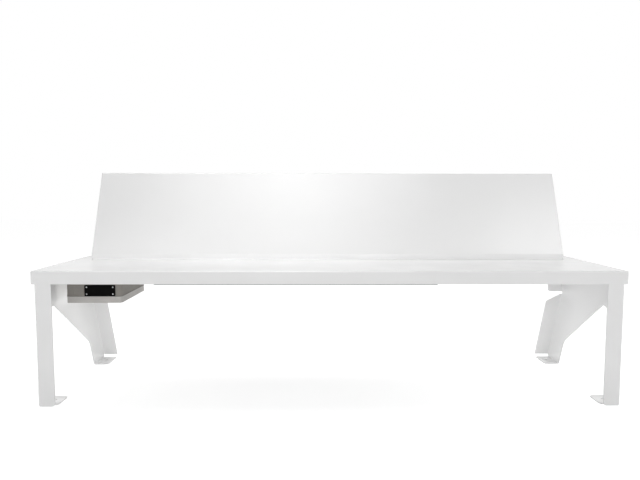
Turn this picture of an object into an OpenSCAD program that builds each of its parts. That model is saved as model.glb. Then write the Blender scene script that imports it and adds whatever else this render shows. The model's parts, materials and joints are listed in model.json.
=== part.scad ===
/* [Seat] */
// Overall width of the seat, which is the width of the bench
bench_w = 2000; // [1800:10:2400]
// Depth of the seat from its front lip to its rear lip
seat_d = 500; // [460:5:560]
// Height of the seat's top face above the floor
seat_h = 465; // [450:5:500]
// Height of the lip folded down round the seat
lip_h = 45; // [42:1:60]
// Thickness of the sheet steel of the seat and the backrest
sheet_t = 2; // [1.5:0.25:2.5]
// Outside radius of the folds in the sheet steel
fold_r = 4; // [3:0.5:6]

/* [Backrest] */
// Distance of the backrest's ends inside the ends of the seat
back_side_in = 69; // [50:1:95]
// Distance of the backrest's foot in front of the seat's rear lip
back_rear_in = 157; // [145:1:180]
// Height of the upright strip at the foot of the backrest
upstand_h = 22; // [18:1:30]
// Length of the leaning sheet, measured up its slope
back_slope = 348; // [300:2:400]
// Angle at which the backrest leans back
lean_a = 22; // [16:1:24]
// Depth of the folded returns at the top and the sides of the backrest
return_w = 20; // [15:1:24]
// Depth of the foot flange that lies on the seat behind the backrest
foot_flange_w = 45; // [40:1:48]
// Number of button screws along the foot flange
foot_screw_n = 5; // [3:1:7]
// Distance of the outer screws inside the ends of the backrest
foot_screw_side_in = 91; // [60:1:115]

/* [Backrest brackets] */
// Distance of the outer brackets' middles inside the ends of the backrest
bracket_side_in = 291; // [150:1:450]
// Width of a bracket's base plate
bracket_base_w = 90; // [80:2:110]
// Width of a bracket's face plate behind the backrest
bracket_face_w = 60; // [50:2:70]
// Thickness of the bracket plates
bracket_t = 4; // [3:0.5:5]
// Height of a bracket above the seat
bracket_h = 255; // [220:5:265]
// Distance between the two base bolts of a bracket
bracket_bolt_pitch = 60; // [56:1:64]

/* [End frames] */
// Thickness of the plate that each end frame is bent from
frame_t = 5; // [4:0.5:6]
// Outside radius of the bends in an end frame
bend_r = 8; // [7:0.5:10]
// Distance of the frame's outer face inside the end of the seat
frame_inset = 8; // [6:1:14]
// Distance of the front leg's face behind the front lip
frame_setback = 5; // [4:0.5:8]
// Distance that the heels of the rear legs stand out behind the seat
heel_out = 95; // [80:1:105]
// Width of the flange down the front leg
front_flange_w = 57; // [45:1:60]
// Width of the rear flanges and of the foot tabs
tab_w = 63; // [52:1:64]
// Depth of the front leg, seen from the side
leg_d = 95; // [80:1:105]
// Angle at which the rear leg runs back towards the floor
rake_a = 22; // [18:0.5:23]
// Height of the knee where the rear leg starts to rake
knee_z = 310; // [300:2:320]
// Width of the rear leg along the floor
rear_leg_w = 116; // [100:1:124]
// Height of the arch above the floor
arch_z = 322; // [310:1:330]
// Angle of the arch's long sloping edge below the level
arch_a = 35; // [33:0.5:37]
// Level length of the arch's top edge
arch_top_w = 44; // [38:1:50]
// Radius of the arch's front top corner
arch_front_r = 32; // [26:1:34]
// Radius of the arch's rear top corner
arch_rear_r = 24; // [16:1:30]
// Radius of the blend from the sloping edge into the rear leg
arch_blend_r = 80; // [60:2:100]
// Radius of the rounded free corners of flanges and tabs
free_corner_r = 10; // [6:1:12]
// Height of the lower end of the rear tab under the seat
rear_tab_z = 316; // [314:1:340]
// Drop of the sloping top edge of the raked flange
flange_chamfer = 40; // [30:1:50]
// Height above the floor at which the raked flange ends
flange_end_z = 14; // [12:1:20]
// Radius of the floor anchor holes
anchor_r = 7; // [5:0.5:8]
// Distance of the front anchor holes behind the front lip
anchor_front_y = 58; // [50:1:64]
// Distance of the rear anchor holes in front of the heels
anchor_rear_in = 59; // [50:1:68]
// Distance of the anchor holes from the frame's outer face
anchor_x_in = 34; // [28:1:36]

/* [Seat rails] */
// Width of the two rails welded under the seat
rail_w = 40; // [36:1:44]
// Height of the rails
rail_h = 34; // [28:1:38]
// Wall thickness of the rails
rail_t = 2.5; // [2:0.25:3]
// Distance of the front rail behind the front lip
front_rail_y = 20; // [16:1:24]
// Distance between the ends of the rails and the end frames
rail_end_gap = 8; // [5:1:20]

/* [Heater] */
// Length of the heater tray
tray_l = 1000; // [600:10:1400]
// Distance between the control box and the end of the tray
tray_box_gap = 135; // [110:1:200]
// Distance between the front rail and the tray's front flange
tray_front_gap = 18; // [12:1:40]
// Distance between the tray's rear flange and the middles of the foot screws
tray_rear_gap = 15; // [12:1:40]
// Height of the tray below the seat sheet
tray_h = 61; // [52:1:64]
// Thickness of the tray's sheet
tray_t = 1.5; // [1:0.25:2]
// Width of the tray's fixing flanges
tray_flange_w = 20; // [18:1:20]
// Thickness of the heating mat
mat_t = 2; // [1.5:0.5:3]
// Gap round the mat and the insulation inside the tray
mat_gap = 4; // [2:0.5:8]
// Length of the temperature sensor
sensor_l = 30; // [24:1:36]
// Radius of the temperature sensor's body
sensor_r = 3; // [2.5:0.25:3.5]
// Length of the moulded block where the lead joins the mat
joint_l = 36; // [30:1:44]
// Width of that block
joint_w = 20; // [16:1:24]
// Height of that block
joint_h = 13; // [12:0.5:16]

/* [Leads and glands] */
// Diameter of the heater lead
heater_lead_d = 7; // [6:0.25:7.5]
// Diameter of the sensor lead
sensor_lead_d = 5; // [4:0.25:5.5]
// Radius of the bends in the leads, at the lead's middle
lead_bend_r = 30; // [28:1:34]
// Distance of the heater lead in front of the tray's rear wall
heater_lead_in = 36; // [26:1:60]
// Distance between the two leads
lead_pitch = 40; // [30:1:60]
// Depth of the leads' middle below the seat sheet inside the tray
lead_drop = 10; // [9:0.5:12]
// Depth of the glands below the roof of the box
gland_drop = 30; // [26:1:32]
// Size across the flats of a lead gland
gland_af = 19; // [17:1:20]
// Size across the flats of the supply gland
supply_af = 24; // [22:1:27]
// Diameter of the supply cable that the supply gland takes
supply_d = 10; // [8:0.5:12]
// Height of the supply gland above the box's lower edge
supply_z = 36; // [30:1:40]

/* [Control box] */
// Width of the control box
box_w = 200; // [190:1:204]
// Length of the control box from front to back
box_l = 270; // [250:2:300]
// Height of the box without its lid
box_h = 100; // [96:1:110]
// Height of the lid with the seam
lid_h = 24; // [22:0.5:30]
// Wall thickness of the box and its lid
box_t = 3; // [2.5:0.25:3.5]
// Radius of the box's upright corners
box_r = 9; // [7:0.5:12]
// Distance of the box's middle from the end of the bench
box_in = 145; // [145:1:156]
// Distance between the back of the box and the rear rail
box_rear_gap = 13; // [8:1:30]
// Gap between the box and the seat sheet, which the hanger strips fill
hanger_h = 13; // [12:0.5:18]
// Width of a hanger strip
hanger_w = 25; // [23:1:28]
// Wall thickness of a hanger strip
hanger_t = 2; // [1.5:0.25:2.5]
// Distance between the middles of the two hanger strips
hanger_pitch = 110; // [105:1:115]
// Height of the seam between the box and its lid
seam_h = 1.5; // [1.3:0.1:2]
// Thickness of the seal that lies in the seam
seal_t = 1.2; // [0.8:0.1:1.2]

/* [Front plate] */
// Width of the black plate on the front of the box
plate_w = 111; // [104:1:114]
// Height of that plate
plate_h = 41; // [38:1:44]
// Thickness of that plate
plate_t = 2.5; // [2:0.25:3]
// Distance of the plate's middle to the right of the box's middle
plate_x = 22; // [18:1:24]
// Height of the plate's lower edge above the seam
plate_z = 1; // [0.5:0.5:3]
// Thickness of the seal behind the plate
plate_seal_t = 1; // [0.5:0.25:1.5]
// Distance of the plate's screws from its edges
plate_screw_in = 8; // [6.5:0.5:9]

/* [Inside the box] */
// Length of the mounting rail
din_l = 226; // [220:1:236]
// Height of the bosses that carry the mounting rail
din_boss_h = 6; // [5:0.5:8]
// Depth of the modules below the mounting rail
module_d = 60; // [52:1:64]
// Length of the modules across the rail
module_l = 86; // [80:1:90]
// Width of the circuit breaker
breaker_w = 18; // [17:0.5:18.5]
// Width of the thermostat
thermostat_w = 36; // [34:0.5:37]
// Width of the terminal block
terminal_w = 62; // [58:0.5:63]
// Width of the power supply
supply_w = 72; // [66:1:74]
// Gap between neighbouring modules
module_gap = 2; // [1:0.5:3]
// Depth of the terminal block below the mounting rail
terminal_d = 42; // [38:1:46]
// Radius of the thermostat's dial
dial_r = 11; // [8:0.5:13]
// Height of the thermostat's dial
dial_h = 9; // [7:0.5:12]
// Radius of the drum of the breaker's toggle
toggle_r = 6.5; // [5.5:0.25:7]
// Length of the breaker's toggle, from its axis
toggle_l = 17; // [14:0.5:19]
// Width of the breaker's toggle
toggle_w = 8; // [7:0.5:10]

/* [Hidden] */
$fn = 48;

// Colours
white_coat = [0.93, 0.93, 0.94];
zinc = [0.72, 0.73, 0.75];
box_grey = [0.60, 0.59, 0.57];
lid_grey = [0.72, 0.71, 0.69];
seal_black = [0.08, 0.08, 0.08];
plate_black = [0.03, 0.03, 0.03];
gland_grey = [0.35, 0.36, 0.37];
module_grey = [0.78, 0.78, 0.76];
tray_grey = [0.24, 0.24, 0.25];
mat_orange = [0.72, 0.30, 0.16];
wool_yellow = [0.74, 0.68, 0.48];

// Running and seating clearances
body_gap = 0.3;
hole_gap = 0.5;
thread_gap = 0.1;
weld_lap = 1;
cut_lap = 1;

// Radius, head and nut sizes of the metric fasteners, given by thread radius
function head_r(thread_r) = thread_r * 1.75;
function head_h(thread_r) = thread_r * 1.1;
function nut_r(thread_r) = thread_r * 1.87;
function nut_h(thread_r) = thread_r * 1.6;
m8 = 4;
m6 = 3;
m5 = 2.5;
m4 = 2;
m3 = 1.5;
stud_spare = 4;
screw_spare = 2;
strip_spare = 1;

// Levels and planes of the bench
half_w = bench_w / 2;
bench_d = seat_d + heel_out;
under_z = seat_h - sheet_t;
web_x = half_w - frame_inset;
web_in_x = web_x - frame_t;
heel_y = bench_d + flange_end_z * tan(rake_a);
rear_y = heel_y - knee_z * tan(rake_a);
flange_in_x = web_x - tab_w;

// Seat rails
rail_half_l = flange_in_x - rail_end_gap;
rail_back_gap = 10;
rear_rail_y = seat_d - sheet_t - rail_w - rail_back_gap;
rail_bolt_y = rear_rail_y + rail_w / 2;

// Studs that hold the end frames, with their places along the top flange
frame_stud_n = 4;
frame_stud_x = web_x - tab_w / 2;
top_flange_end = 34;
top_flange_y0 = top_flange_end;
top_flange_y1 = rear_y - top_flange_end;
frame_stud_in = 26;
frame_stud_pitch = (top_flange_y1 - top_flange_y0 - 2 * frame_stud_in) / (frame_stud_n - 1);
function frame_stud_y(i) = top_flange_y0 + frame_stud_in + i * frame_stud_pitch;

// Backrest lines, up the slope and square to it
back_w = bench_w - 2 * back_side_in;
back_y = seat_d - back_rear_in;
bend_z = seat_h + upstand_h;
lean_start = 14;
function slope_y(z) = back_y + (z - bend_z) * tan(lean_a);
function slope_back_y(z) = slope_y(z) + sheet_t / cos(lean_a);
foot_flange_y = back_y + foot_flange_w;
foot_screw_in = 15;
foot_screw_y = foot_flange_y - foot_screw_in;
foot_screw_pitch = (back_w - 2 * foot_screw_side_in) / (foot_screw_n - 1);

// Brackets behind the backrest
bracket_x = back_w / 2 - bracket_side_in;
bracket_low_h = 46;
bracket_low_z = seat_h + bracket_low_h;
bracket_top_z = seat_h + bracket_h;
bracket_front_gap = 5;
bracket_back_in = 8;
bracket_y0 = foot_flange_y + bracket_front_gap;
bracket_y1 = seat_d - bracket_back_in;
bracket_toe_h = 12;
bracket_notch_h = 26;
bracket_top_w = 34;
bracket_stud_in = 28;
bracket_face_l = (bracket_top_z - bracket_low_z) / cos(lean_a);
bracket_stud_edge = 12;
bracket_stud_x = bracket_face_w / 2 - bracket_stud_edge;

// Control box
box_cx = box_in - half_w;
box_x0 = box_cx - box_w / 2;
box_x1 = box_cx + box_w / 2;
box_y = rear_rail_y - box_rear_gap - box_l;
box_y1 = box_y + box_l;
box_top_z = under_z - hanger_h;
box_roof_z = box_top_z - box_t;
box_low_z = box_top_z - box_h;
lid_rim_z = box_low_z - seam_h;
lid_low_z = box_low_z - lid_h;
boss_r = 7;
boss_set = 2;
boss_in = box_r + boss_set;
boss_blind = 4;
boss_xs = [box_x0 + boss_in, box_x1 - boss_in];
boss_ys = [box_y + boss_in, box_y1 - boss_in];
lid_screw_bite = 16;
lid_head_h = 3.5;
gland_z = box_top_z - gland_drop;
gland_x = box_x1;

// Heater tray and what lies in it
tray_x0 = box_x1 + tray_box_gap;
tray_x1 = tray_x0 + tray_l;
tray_y = front_rail_y + rail_w + tray_front_gap + tray_flange_w;
tray_y1 = foot_screw_y - tray_rear_gap - tray_flange_w;
tray_d = tray_y1 - tray_y;
tray_z = under_z - tray_h;
mat_z = under_z - mat_t;
tray_stud_n = 3;
tray_stud_in = 60;
tray_stud_pitch = (tray_l - 2 * tray_stud_in) / (tray_stud_n - 1);
function tray_stud_x(i) = tray_x0 + tray_stud_in + i * tray_stud_pitch;
tray_stud_ys = [tray_y - tray_flange_w / 2, tray_y1 + tray_flange_w / 2];
lead_z = under_z - lead_drop;
heater_lead_y = tray_y1 - heater_lead_in;
sensor_lead_y = heater_lead_y - lead_pitch;
joint_in = 46;
joint_x = tray_x0 + joint_in;
pocket_gap = 2;
mat_r = 6;
joint_r = 4;
sensor_x = (tray_x0 + tray_x1) / 2;
channel_w = 10;

// Hanger strips and their screws
hanger_xs = [box_cx - hanger_pitch / 2, box_cx + hanger_pitch / 2];
hanger_in = 30;
hanger_ys = [box_y + hanger_in, box_y1 - hanger_in];
hanger_screw_step = 24;
hanger_screw_ys = [hanger_ys[0] + hanger_screw_step, hanger_ys[1] - hanger_screw_step];
hanger_hole_x = 1.5;
hanger_end = 8;
hanger_bend = 0.5;

// Front plate
plate_cx = box_cx + plate_x;
plate_low_z = box_low_z + plate_z;
plate_screw_xs = [plate_cx - plate_w / 2 + plate_screw_in, plate_cx + plate_w / 2 - plate_screw_in];
plate_screw_zs = [plate_low_z + plate_screw_in, plate_low_z + plate_h - plate_screw_in];
window_side = 13;
window_edge = 10;
window_w = plate_w - 2 * window_side;
window_h = plate_h - 2 * window_edge;

// Modules on the mounting rail, in a row from the front of the box to its back
din_w = 35;
din_h = 7.5;
din_t = 1;
din_mid_w = 27;
din_boss_r = 4;
din_y0 = box_y + (box_l - din_l) / 2;
din_top_z = box_roof_z - din_boss_h;
din_face_z = din_top_z - din_h;
row_in = 12;
row_y0 = din_y0 + row_in;
breaker_y = row_y0;
thermostat_y = breaker_y + breaker_w + module_gap;
terminal_y = thermostat_y + thermostat_w + module_gap;
supply_y = terminal_y + terminal_w + module_gap;
din_screw_in = 6;
din_screw_ys = [din_y0 + din_screw_in, din_y0 + din_l - din_screw_in];
module_face_z = din_face_z - module_d;
terminal_half_l = 30;
terminal_x1 = box_cx + terminal_half_l;
terminal_face_z = din_face_z - terminal_d;
toggle_depth = 1;
toggle_z = module_face_z + toggle_depth;
toggle_y = breaker_y + breaker_w / 2;
dial_y = thermostat_y + thermostat_w / 2;
dial_x = box_cx;

// Direction of a vector, and the same turned left by a right angle
function unit(v) = v / norm(v);
function left_of(v) = [-v[1], v[0]];
function turn(a) = a > 180 ? a - 360 : a < -180 ? a + 360 : a;

// Points of a fillet of radius r at corner b of a line from a to c
arc_steps = 8;
function fillet(a, b, c, r) =
    let(u = unit(a - b), v = unit(c - b))
    let(half = acos(max(-1, min(1, u * v))) / 2)
    let(mid = b + unit(u + v) * r / sin(half))
    let(p = b + u * r / tan(half) - mid, q = b + v * r / tan(half) - mid)
    let(a0 = atan2(p[1], p[0]), sweep = turn(atan2(q[1], q[0]) - a0))
    [for (i = [0:arc_steps]) mid + r * [cos(a0 + sweep * i / arc_steps), sin(a0 + sweep * i / arc_steps)]];

// Open line with its inner corners rounded by the radii given, one for each corner
function rounded_line(points, radii) =
    [for (i = [0:len(points) - 1])
        each (i == 0 || i == len(points) - 1 || radii[i] == 0)
            ? [points[i]]
            : fillet(points[i - 1], points[i], points[i + 1], radii[i])];

// Closed outline with its corners rounded
function rounded_loop(points, radii) =
    let(n = len(points))
    [for (i = [0:n - 1])
        each radii[i] == 0
            ? [points[i]]
            : fillet(points[(i + n - 1) % n], points[i], points[(i + 1) % n], radii[i])];

// Line moved to its left by t, with mitred corners
function moved_line(line, t) =
    let(n = len(line))
    [for (i = [0:n - 1])
        let(d0 = unit(line[i] - line[max(i - 1, 0)] + (i == 0 ? line[1] - line[0] : [0, 0])))
        let(d1 = i == n - 1 ? d0 : unit(line[i + 1] - line[i]))
        let(m = unit(left_of(d0) + left_of(d1)))
        line[i] + m * t / (m * left_of(d0))];

// Outline of a strip of thickness t to the right of a line, as folded sheet
function folded(points, radii, t) =
    let(line = rounded_line(points, radii), other = moved_line(line, -t))
    concat(line, [for (i = [len(other) - 1:-1:0]) other[i]]);

// Corners of a rectangle
function corners(x0, y0, x1, y1) = [[x0, y0], [x1, y0], [x1, y1], [x0, y1]];

// Moves the bench from its front lip to the middle of its depth
module placed() {
    translate([0, -bench_d / 2, 0]) children();
}

// Extrudes an outline drawn in depth and height along the width, from x0 to x1
module along_x(x0, x1) {
    translate([x0, 0, 0]) rotate([90, 0, 90]) linear_extrude(x1 - x0) children();
}

// Extrudes an outline drawn in width and height along the depth, from y0 to y1
module along_y(y0, y1) {
    translate([0, y1, 0]) rotate([90, 0, 0]) linear_extrude(y1 - y0) children();
}

// Extrudes an outline drawn in width and depth upwards, from z0 to z1
module along_z(z0, z1) {
    translate([0, 0, z0]) linear_extrude(z1 - z0) children();
}

// Block with rounded upright edges
module rounded_block(x0, y0, z0, x1, y1, z1, r) {
    along_z(z0, z1) polygon(rounded_loop(corners(x0, y0, x1, y1), [r, r, r, r]));
}

// Solid with the outside of a folded pan: top face at level 0, upper edges rounded
module pan_block(w, d, h, r) {
    intersection() {
        along_z(-h, 0) polygon(rounded_loop(corners(-w / 2, 0, w / 2, d), [r, r, r, r]));
        along_x(-w / 2, w / 2) polygon(rounded_loop(corners(0, -h, d, 0), [0, 0, r, r]));
        along_y(0, d) polygon(rounded_loop(corners(-w / 2, -h, w / 2, 0), [0, 0, r, r]));
    }
}

// Sheet folded down on all four sides
module folded_pan(w, d, h, r, t) {
    difference() {
        pan_block(w, d, h, r);
        translate([0, t, -t]) pan_block(w - 2 * t, d - 2 * t, h, r - t);
    }
}

// Hexagonal nut round an upright thread, hanging below level z
module nut_below(x, y, z, thread_r) {
    translate([x, y, z - nut_h(thread_r)]) difference() {
        cylinder(r = nut_r(thread_r), h = nut_h(thread_r), $fn = 6);
        translate([0, 0, -cut_lap])
            cylinder(r = thread_r + thread_gap, h = nut_h(thread_r) + 2 * cut_lap);
    }
}

// Upright threaded stud hanging below level z
module stud_below(x, y, z, thread_r, l) {
    translate([x, y, z - l]) cylinder(r = thread_r, h = l);
}

// Screw standing on level z, with its head above and its shank below
module button_screw(x, y, z, thread_r, l) {
    translate([x, y, z]) {
        cylinder(r = head_r(thread_r), h = head_h(thread_r));
        translate([0, 0, -l]) cylinder(r = thread_r, h = l + cut_lap);
    }
}

// Upright hole through z0 to z1
module hole(x, y, z0, z1, r) {
    translate([x, y, z0]) cylinder(r = r, h = z1 - z0);
}

// Places of the screws and bolts
module at_brackets() {
    for (x = [-bracket_x, 0, bracket_x]) translate([x, 0, 0]) children();
}

module at_bracket_bolts() {
    at_brackets() for (side = [-1, 1])
        translate([side * bracket_bolt_pitch / 2, rail_bolt_y, 0]) children();
}

module at_foot_screws() {
    for (i = [0:foot_screw_n - 1])
        translate([(i - (foot_screw_n - 1) / 2) * foot_screw_pitch, foot_screw_y, 0]) children();
}

// Places that lie on the backrest's slope, with Y up the slope and Z out of its front
module on_slope() {
    translate([0, back_y, bend_z]) rotate([90 - lean_a, 0, 0]) children();
}

bracket_slope_0 = (bracket_low_z - bend_z) / cos(lean_a);
module at_backrest_studs() {
    at_brackets() on_slope()
        for (side = [-1, 1], v = [bracket_stud_in, bracket_face_l - bracket_stud_in])
            translate([side * bracket_stud_x, bracket_slope_0 + v, 0]) children();
}

module at_frame_studs() {
    for (side = [-1, 1], i = [0:frame_stud_n - 1])
        translate([side * frame_stud_x, frame_stud_y(i), 0]) children();
}

module at_tray_studs() {
    for (i = [0:tray_stud_n - 1], y = tray_stud_ys)
        translate([tray_stud_x(i), y, 0]) children();
}

// Seat
module seat_panel() placed() color(white_coat) difference() {
    translate([0, 0, seat_h]) folded_pan(bench_w, seat_d, lip_h, fold_r, sheet_t);
    at_bracket_bolts() hole(0, 0, under_z - cut_lap, seat_h + cut_lap, m8 + hole_gap);
    at_foot_screws() hole(0, 0, under_z - cut_lap, seat_h + cut_lap, m6 + hole_gap);
}

// Channel under the seat, open at the bottom
module seat_rail(y0) {
    along_x(-rail_half_l, rail_half_l) polygon(folded(
        [[y0, under_z - rail_h], [y0, under_z], [y0 + rail_w, under_z], [y0 + rail_w, under_z - rail_h]],
        [0, fold_r, fold_r, 0], rail_t));
}

module front_seat_rail() placed() color(white_coat) seat_rail(front_rail_y);

module rear_seat_rail() placed() color(white_coat) difference() {
    seat_rail(rear_rail_y);
    at_bracket_bolts() hole(0, 0, under_z - rail_t - cut_lap, under_z + cut_lap, m8 + hole_gap);
}

// Studs welded under the seat for the frames, the tray and the control box
frame_stud_l = frame_t + nut_h(m8) + stud_spare;
tray_stud_l = tray_t + nut_h(m5) + screw_spare;
hanger_stud_l = hanger_t + nut_h(m5) + strip_spare;
module seat_studs() placed() color(zinc) {
    at_frame_studs() stud_below(0, 0, under_z, m8, frame_stud_l);
    at_tray_studs() stud_below(0, 0, under_z, m5, tray_stud_l);
    for (x = hanger_xs, y = hanger_ys)
        stud_below(x + hanger_hole_x, y, under_z, m5, hanger_stud_l);
}

// Backrest, folded from one sheet
module backrest_panel() placed() color(white_coat) difference() {
    union() {
        along_x(-back_w / 2, back_w / 2) polygon(folded(
            [[foot_flange_y, seat_h], [back_y, seat_h], [back_y, bend_z],
             [back_y + 2 * lean_start * sin(lean_a), bend_z + 2 * lean_start * cos(lean_a)]],
            [0, fold_r, fold_r, 0], sheet_t));
        on_slope() intersection() {
            translate([0, -lean_start, 0])
                folded_pan(back_w, back_slope + lean_start, return_w, fold_r, sheet_t);
            translate([-back_w, lean_start, -2 * return_w])
                cube([2 * back_w, back_slope, 4 * return_w]);
        }
    }
    at_foot_screws() hole(0, 0, seat_h - cut_lap, seat_h + sheet_t + cut_lap, m6 + hole_gap);
}

// Bracket behind the backrest, welded from a base plate, a rib and a face plate
module bracket() {
    difference() {
        union() {
            translate([-bracket_base_w / 2, bracket_y0, seat_h])
                cube([bracket_base_w, bracket_y1 - bracket_y0, bracket_t]);
            along_x(-bracket_t / 2, bracket_t / 2) polygon([
                [bracket_y0, seat_h], [bracket_y1, seat_h], [bracket_y1, seat_h + bracket_toe_h],
                [slope_back_y(bracket_top_z) + bracket_top_w, bracket_top_z],
                [slope_back_y(bracket_top_z), bracket_top_z],
                [slope_back_y(bracket_low_z), bracket_low_z],
                [bracket_y0, seat_h + bracket_notch_h]]);
            on_slope() translate([-bracket_face_w / 2, bracket_slope_0, -sheet_t - bracket_t])
                cube([bracket_face_w, bracket_face_l, bracket_t]);
        }
        for (side = [-1, 1]) {
            hole(side * bracket_bolt_pitch / 2, rail_bolt_y, seat_h - cut_lap,
                seat_h + bracket_t + cut_lap, m8 + hole_gap);
            for (v = [bracket_stud_in, bracket_face_l - bracket_stud_in])
                on_slope()
                    translate([side * bracket_stud_x, bracket_slope_0 + v, -sheet_t - bracket_t - cut_lap])
                        cylinder(r = m6 + hole_gap, h = bracket_t + 2 * cut_lap);
        }
    }
}

module backrest_bracket_left() placed() color(white_coat) translate([-bracket_x, 0, 0]) bracket();
module backrest_bracket_middle() placed() color(white_coat) bracket();
module backrest_bracket_right() placed() color(white_coat) translate([bracket_x, 0, 0]) bracket();

backrest_stud_l = bracket_t + nut_h(m6) + screw_spare;
module backrest_studs() placed() color(zinc)
    at_backrest_studs() translate([0, 0, -sheet_t - backrest_stud_l]) cylinder(r = m6, h = backrest_stud_l);

module backrest_stud_nuts() placed() color(zinc)
    at_backrest_studs() nut_below(0, 0, -sheet_t - bracket_t, m6);

bracket_bolt_l = bracket_t + sheet_t + rail_t + nut_h(m8) + stud_spare;
module bracket_bolts() placed() color(zinc)
    at_bracket_bolts() button_screw(0, 0, seat_h + bracket_t, m8, bracket_bolt_l);

module bracket_nuts() placed() color(zinc)
    at_bracket_bolts() nut_below(0, 0, under_z - rail_t, m8);

foot_screw_l = 2 * sheet_t + nut_h(m6) + screw_spare;
module foot_flange_screws() placed() color(zinc)
    at_foot_screws() button_screw(0, 0, seat_h + sheet_t, m6, foot_screw_l);

module foot_flange_nuts() placed() color(zinc)
    at_foot_screws() nut_below(0, 0, under_z, m6);

// End frame on the right, bent from one plate
heel_in = bend_r / cos(rake_a);
knee_in_z = knee_z + bend_r * (1 - 1 / cos(rake_a)) / tan(rake_a);
function rake_y(z) = heel_y - z * tan(rake_a);
function inner_rake_y(z) = rake_y(z) - rear_leg_w;
arch_y1 = leg_d + arch_top_w;
// Where the sloping edge of the arch meets the front edge of the rear leg
arch_meet_y = (inner_rake_y(arch_z) - arch_y1 * tan(arch_a) * tan(rake_a))
    / (1 - tan(arch_a) * tan(rake_a));
arch_meet_z = arch_z - (arch_meet_y - arch_y1) * tan(arch_a);

module frame_web() {
    along_x(web_in_x, web_x) polygon(rounded_loop([
        [frame_setback + bend_r, bend_r],
        [frame_setback + bend_r, under_z - bend_r],
        [rear_y - bend_r, under_z - bend_r],
        [rear_y - bend_r, knee_in_z],
        [rake_y(bend_r) - heel_in, bend_r],
        [inner_rake_y(bend_r), bend_r],
        [arch_meet_y, arch_meet_z],
        [arch_y1, arch_z],
        [leg_d, arch_z],
        [leg_d, bend_r]],
        [0, 0, 0, 0, 0, 0, arch_blend_r, arch_rear_r, arch_front_r, 0]));
}

// Section of a bent edge: the web's end, the bend, and a flange of width w
function bent_edge(w) = folded(
    [[web_x, -bend_r - weld_lap], [web_x, 0], [web_x - w, 0]], [0, bend_r, 0], -frame_t);

module front_flange() {
    intersection() {
        along_z(0, under_z) translate([0, frame_setback]) mirror([0, 1])
            polygon(bent_edge(front_flange_w));
        along_y(0, leg_d) polygon(rounded_loop(
            corners(web_x - front_flange_w, 0, web_x, under_z), [free_corner_r, free_corner_r, 0, 0]));
    }
}

module rear_tab() {
    intersection() {
        along_z(rear_tab_z, under_z) translate([0, rear_y]) polygon(bent_edge(tab_w));
        along_y(0, bench_d) polygon(rounded_loop(
            corners(flange_in_x, rear_tab_z, web_x + cut_lap, under_z), [free_corner_r, 0, 0, 0]));
    }
}

module raked_flange() {
    rake_l = knee_z / cos(rake_a);
    intersection() {
        translate([0, heel_y, 0]) rotate([rake_a, 0, 0]) intersection() {
            linear_extrude(rake_l) polygon(bent_edge(tab_w));
            along_y(-bench_d, bench_d) polygon([
                [flange_in_x, 0], [web_x + cut_lap, 0], [web_x + cut_lap, rake_l - frame_t],
                [web_x - bend_r, rake_l - frame_t], [flange_in_x, rake_l - flange_chamfer]]);
        }
        translate([0, 0, flange_end_z]) cube([bench_w, 2 * bench_d, seat_h]);
    }
}

module top_flange() {
    along_y(top_flange_y0, top_flange_y1) translate([0, under_z]) polygon(bent_edge(tab_w));
}

module foot_tab(y0, y1) {
    intersection() {
        along_y(y0, y1) mirror([0, 1]) polygon(bent_edge(tab_w));
        along_z(0, seat_h) polygon(rounded_loop(
            corners(flange_in_x, y0, web_x + cut_lap, y1), [free_corner_r, 0, 0, free_corner_r]));
    }
}

tab_relief = 6;
module end_frame() {
    difference() {
        union() {
            frame_web();
            front_flange();
            rear_tab();
            raked_flange();
            top_flange();
            foot_tab(frame_setback + bend_r + tab_relief, leg_d);
            foot_tab(inner_rake_y(bend_r), rake_y(bend_r) - heel_in - tab_relief);
        }
        for (i = [0:frame_stud_n - 1])
            hole(frame_stud_x, frame_stud_y(i), under_z - frame_t - cut_lap, under_z + cut_lap,
                m8 + hole_gap);
        for (y = [anchor_front_y, bench_d - anchor_rear_in])
            hole(web_x - anchor_x_in, y, -cut_lap, frame_t + cut_lap, anchor_r);
    }
}

module right_end_frame() placed() color(white_coat) end_frame();
module left_end_frame() placed() color(white_coat) mirror([1, 0, 0]) end_frame();

module frame_nuts() placed() color(zinc)
    at_frame_studs() nut_below(0, 0, under_z - frame_t, m8);

// Heater under the seat
module heating_mat() placed() color(mat_orange)
    rounded_block(tray_x0 + tray_t + mat_gap, tray_y + tray_t + mat_gap, mat_z,
        tray_x1 - tray_t - mat_gap, tray_y1 - tray_t - mat_gap, under_z, mat_r);

module heater_joint_block() placed() color(seal_black) difference() {
    rounded_block(joint_x - joint_l / 2, heater_lead_y - joint_w / 2, mat_z - joint_h,
        joint_x + joint_l / 2, heater_lead_y + joint_w / 2, mat_z, joint_r);
    translate([joint_x - joint_l / 2 - cut_lap, heater_lead_y, lead_z]) rotate([0, 90, 0])
        cylinder(r = heater_lead_d / 2 + thread_gap, h = joint_l / 2 + cut_lap);
}

module temperature_sensor() placed() color(zinc)
    translate([sensor_x - sensor_l / 2, sensor_lead_y, mat_z - sensor_r]) rotate([0, 90, 0])
        cylinder(r = sensor_r, h = sensor_l);

// Board of mineral wool, with channels for the joint block, the sensor and the leads
module insulation_board() placed() color(wool_yellow) difference() {
    translate([tray_x0 + tray_t + mat_gap, tray_y + tray_t + mat_gap, tray_z + tray_t])
        cube([tray_l - 2 * (tray_t + mat_gap), tray_d - 2 * (tray_t + mat_gap), mat_z - tray_z - tray_t]);
    translate([tray_x0, heater_lead_y - joint_w / 2 - pocket_gap, mat_z - joint_h - pocket_gap])
        cube([joint_x - tray_x0 + joint_l / 2 + pocket_gap, joint_w + 2 * pocket_gap, seat_h]);
    translate([tray_x0, sensor_lead_y - channel_w / 2, lead_z - sensor_lead_d])
        cube([sensor_x - tray_x0 + sensor_l / 2 + pocket_gap, channel_w, seat_h]);
}

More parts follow.
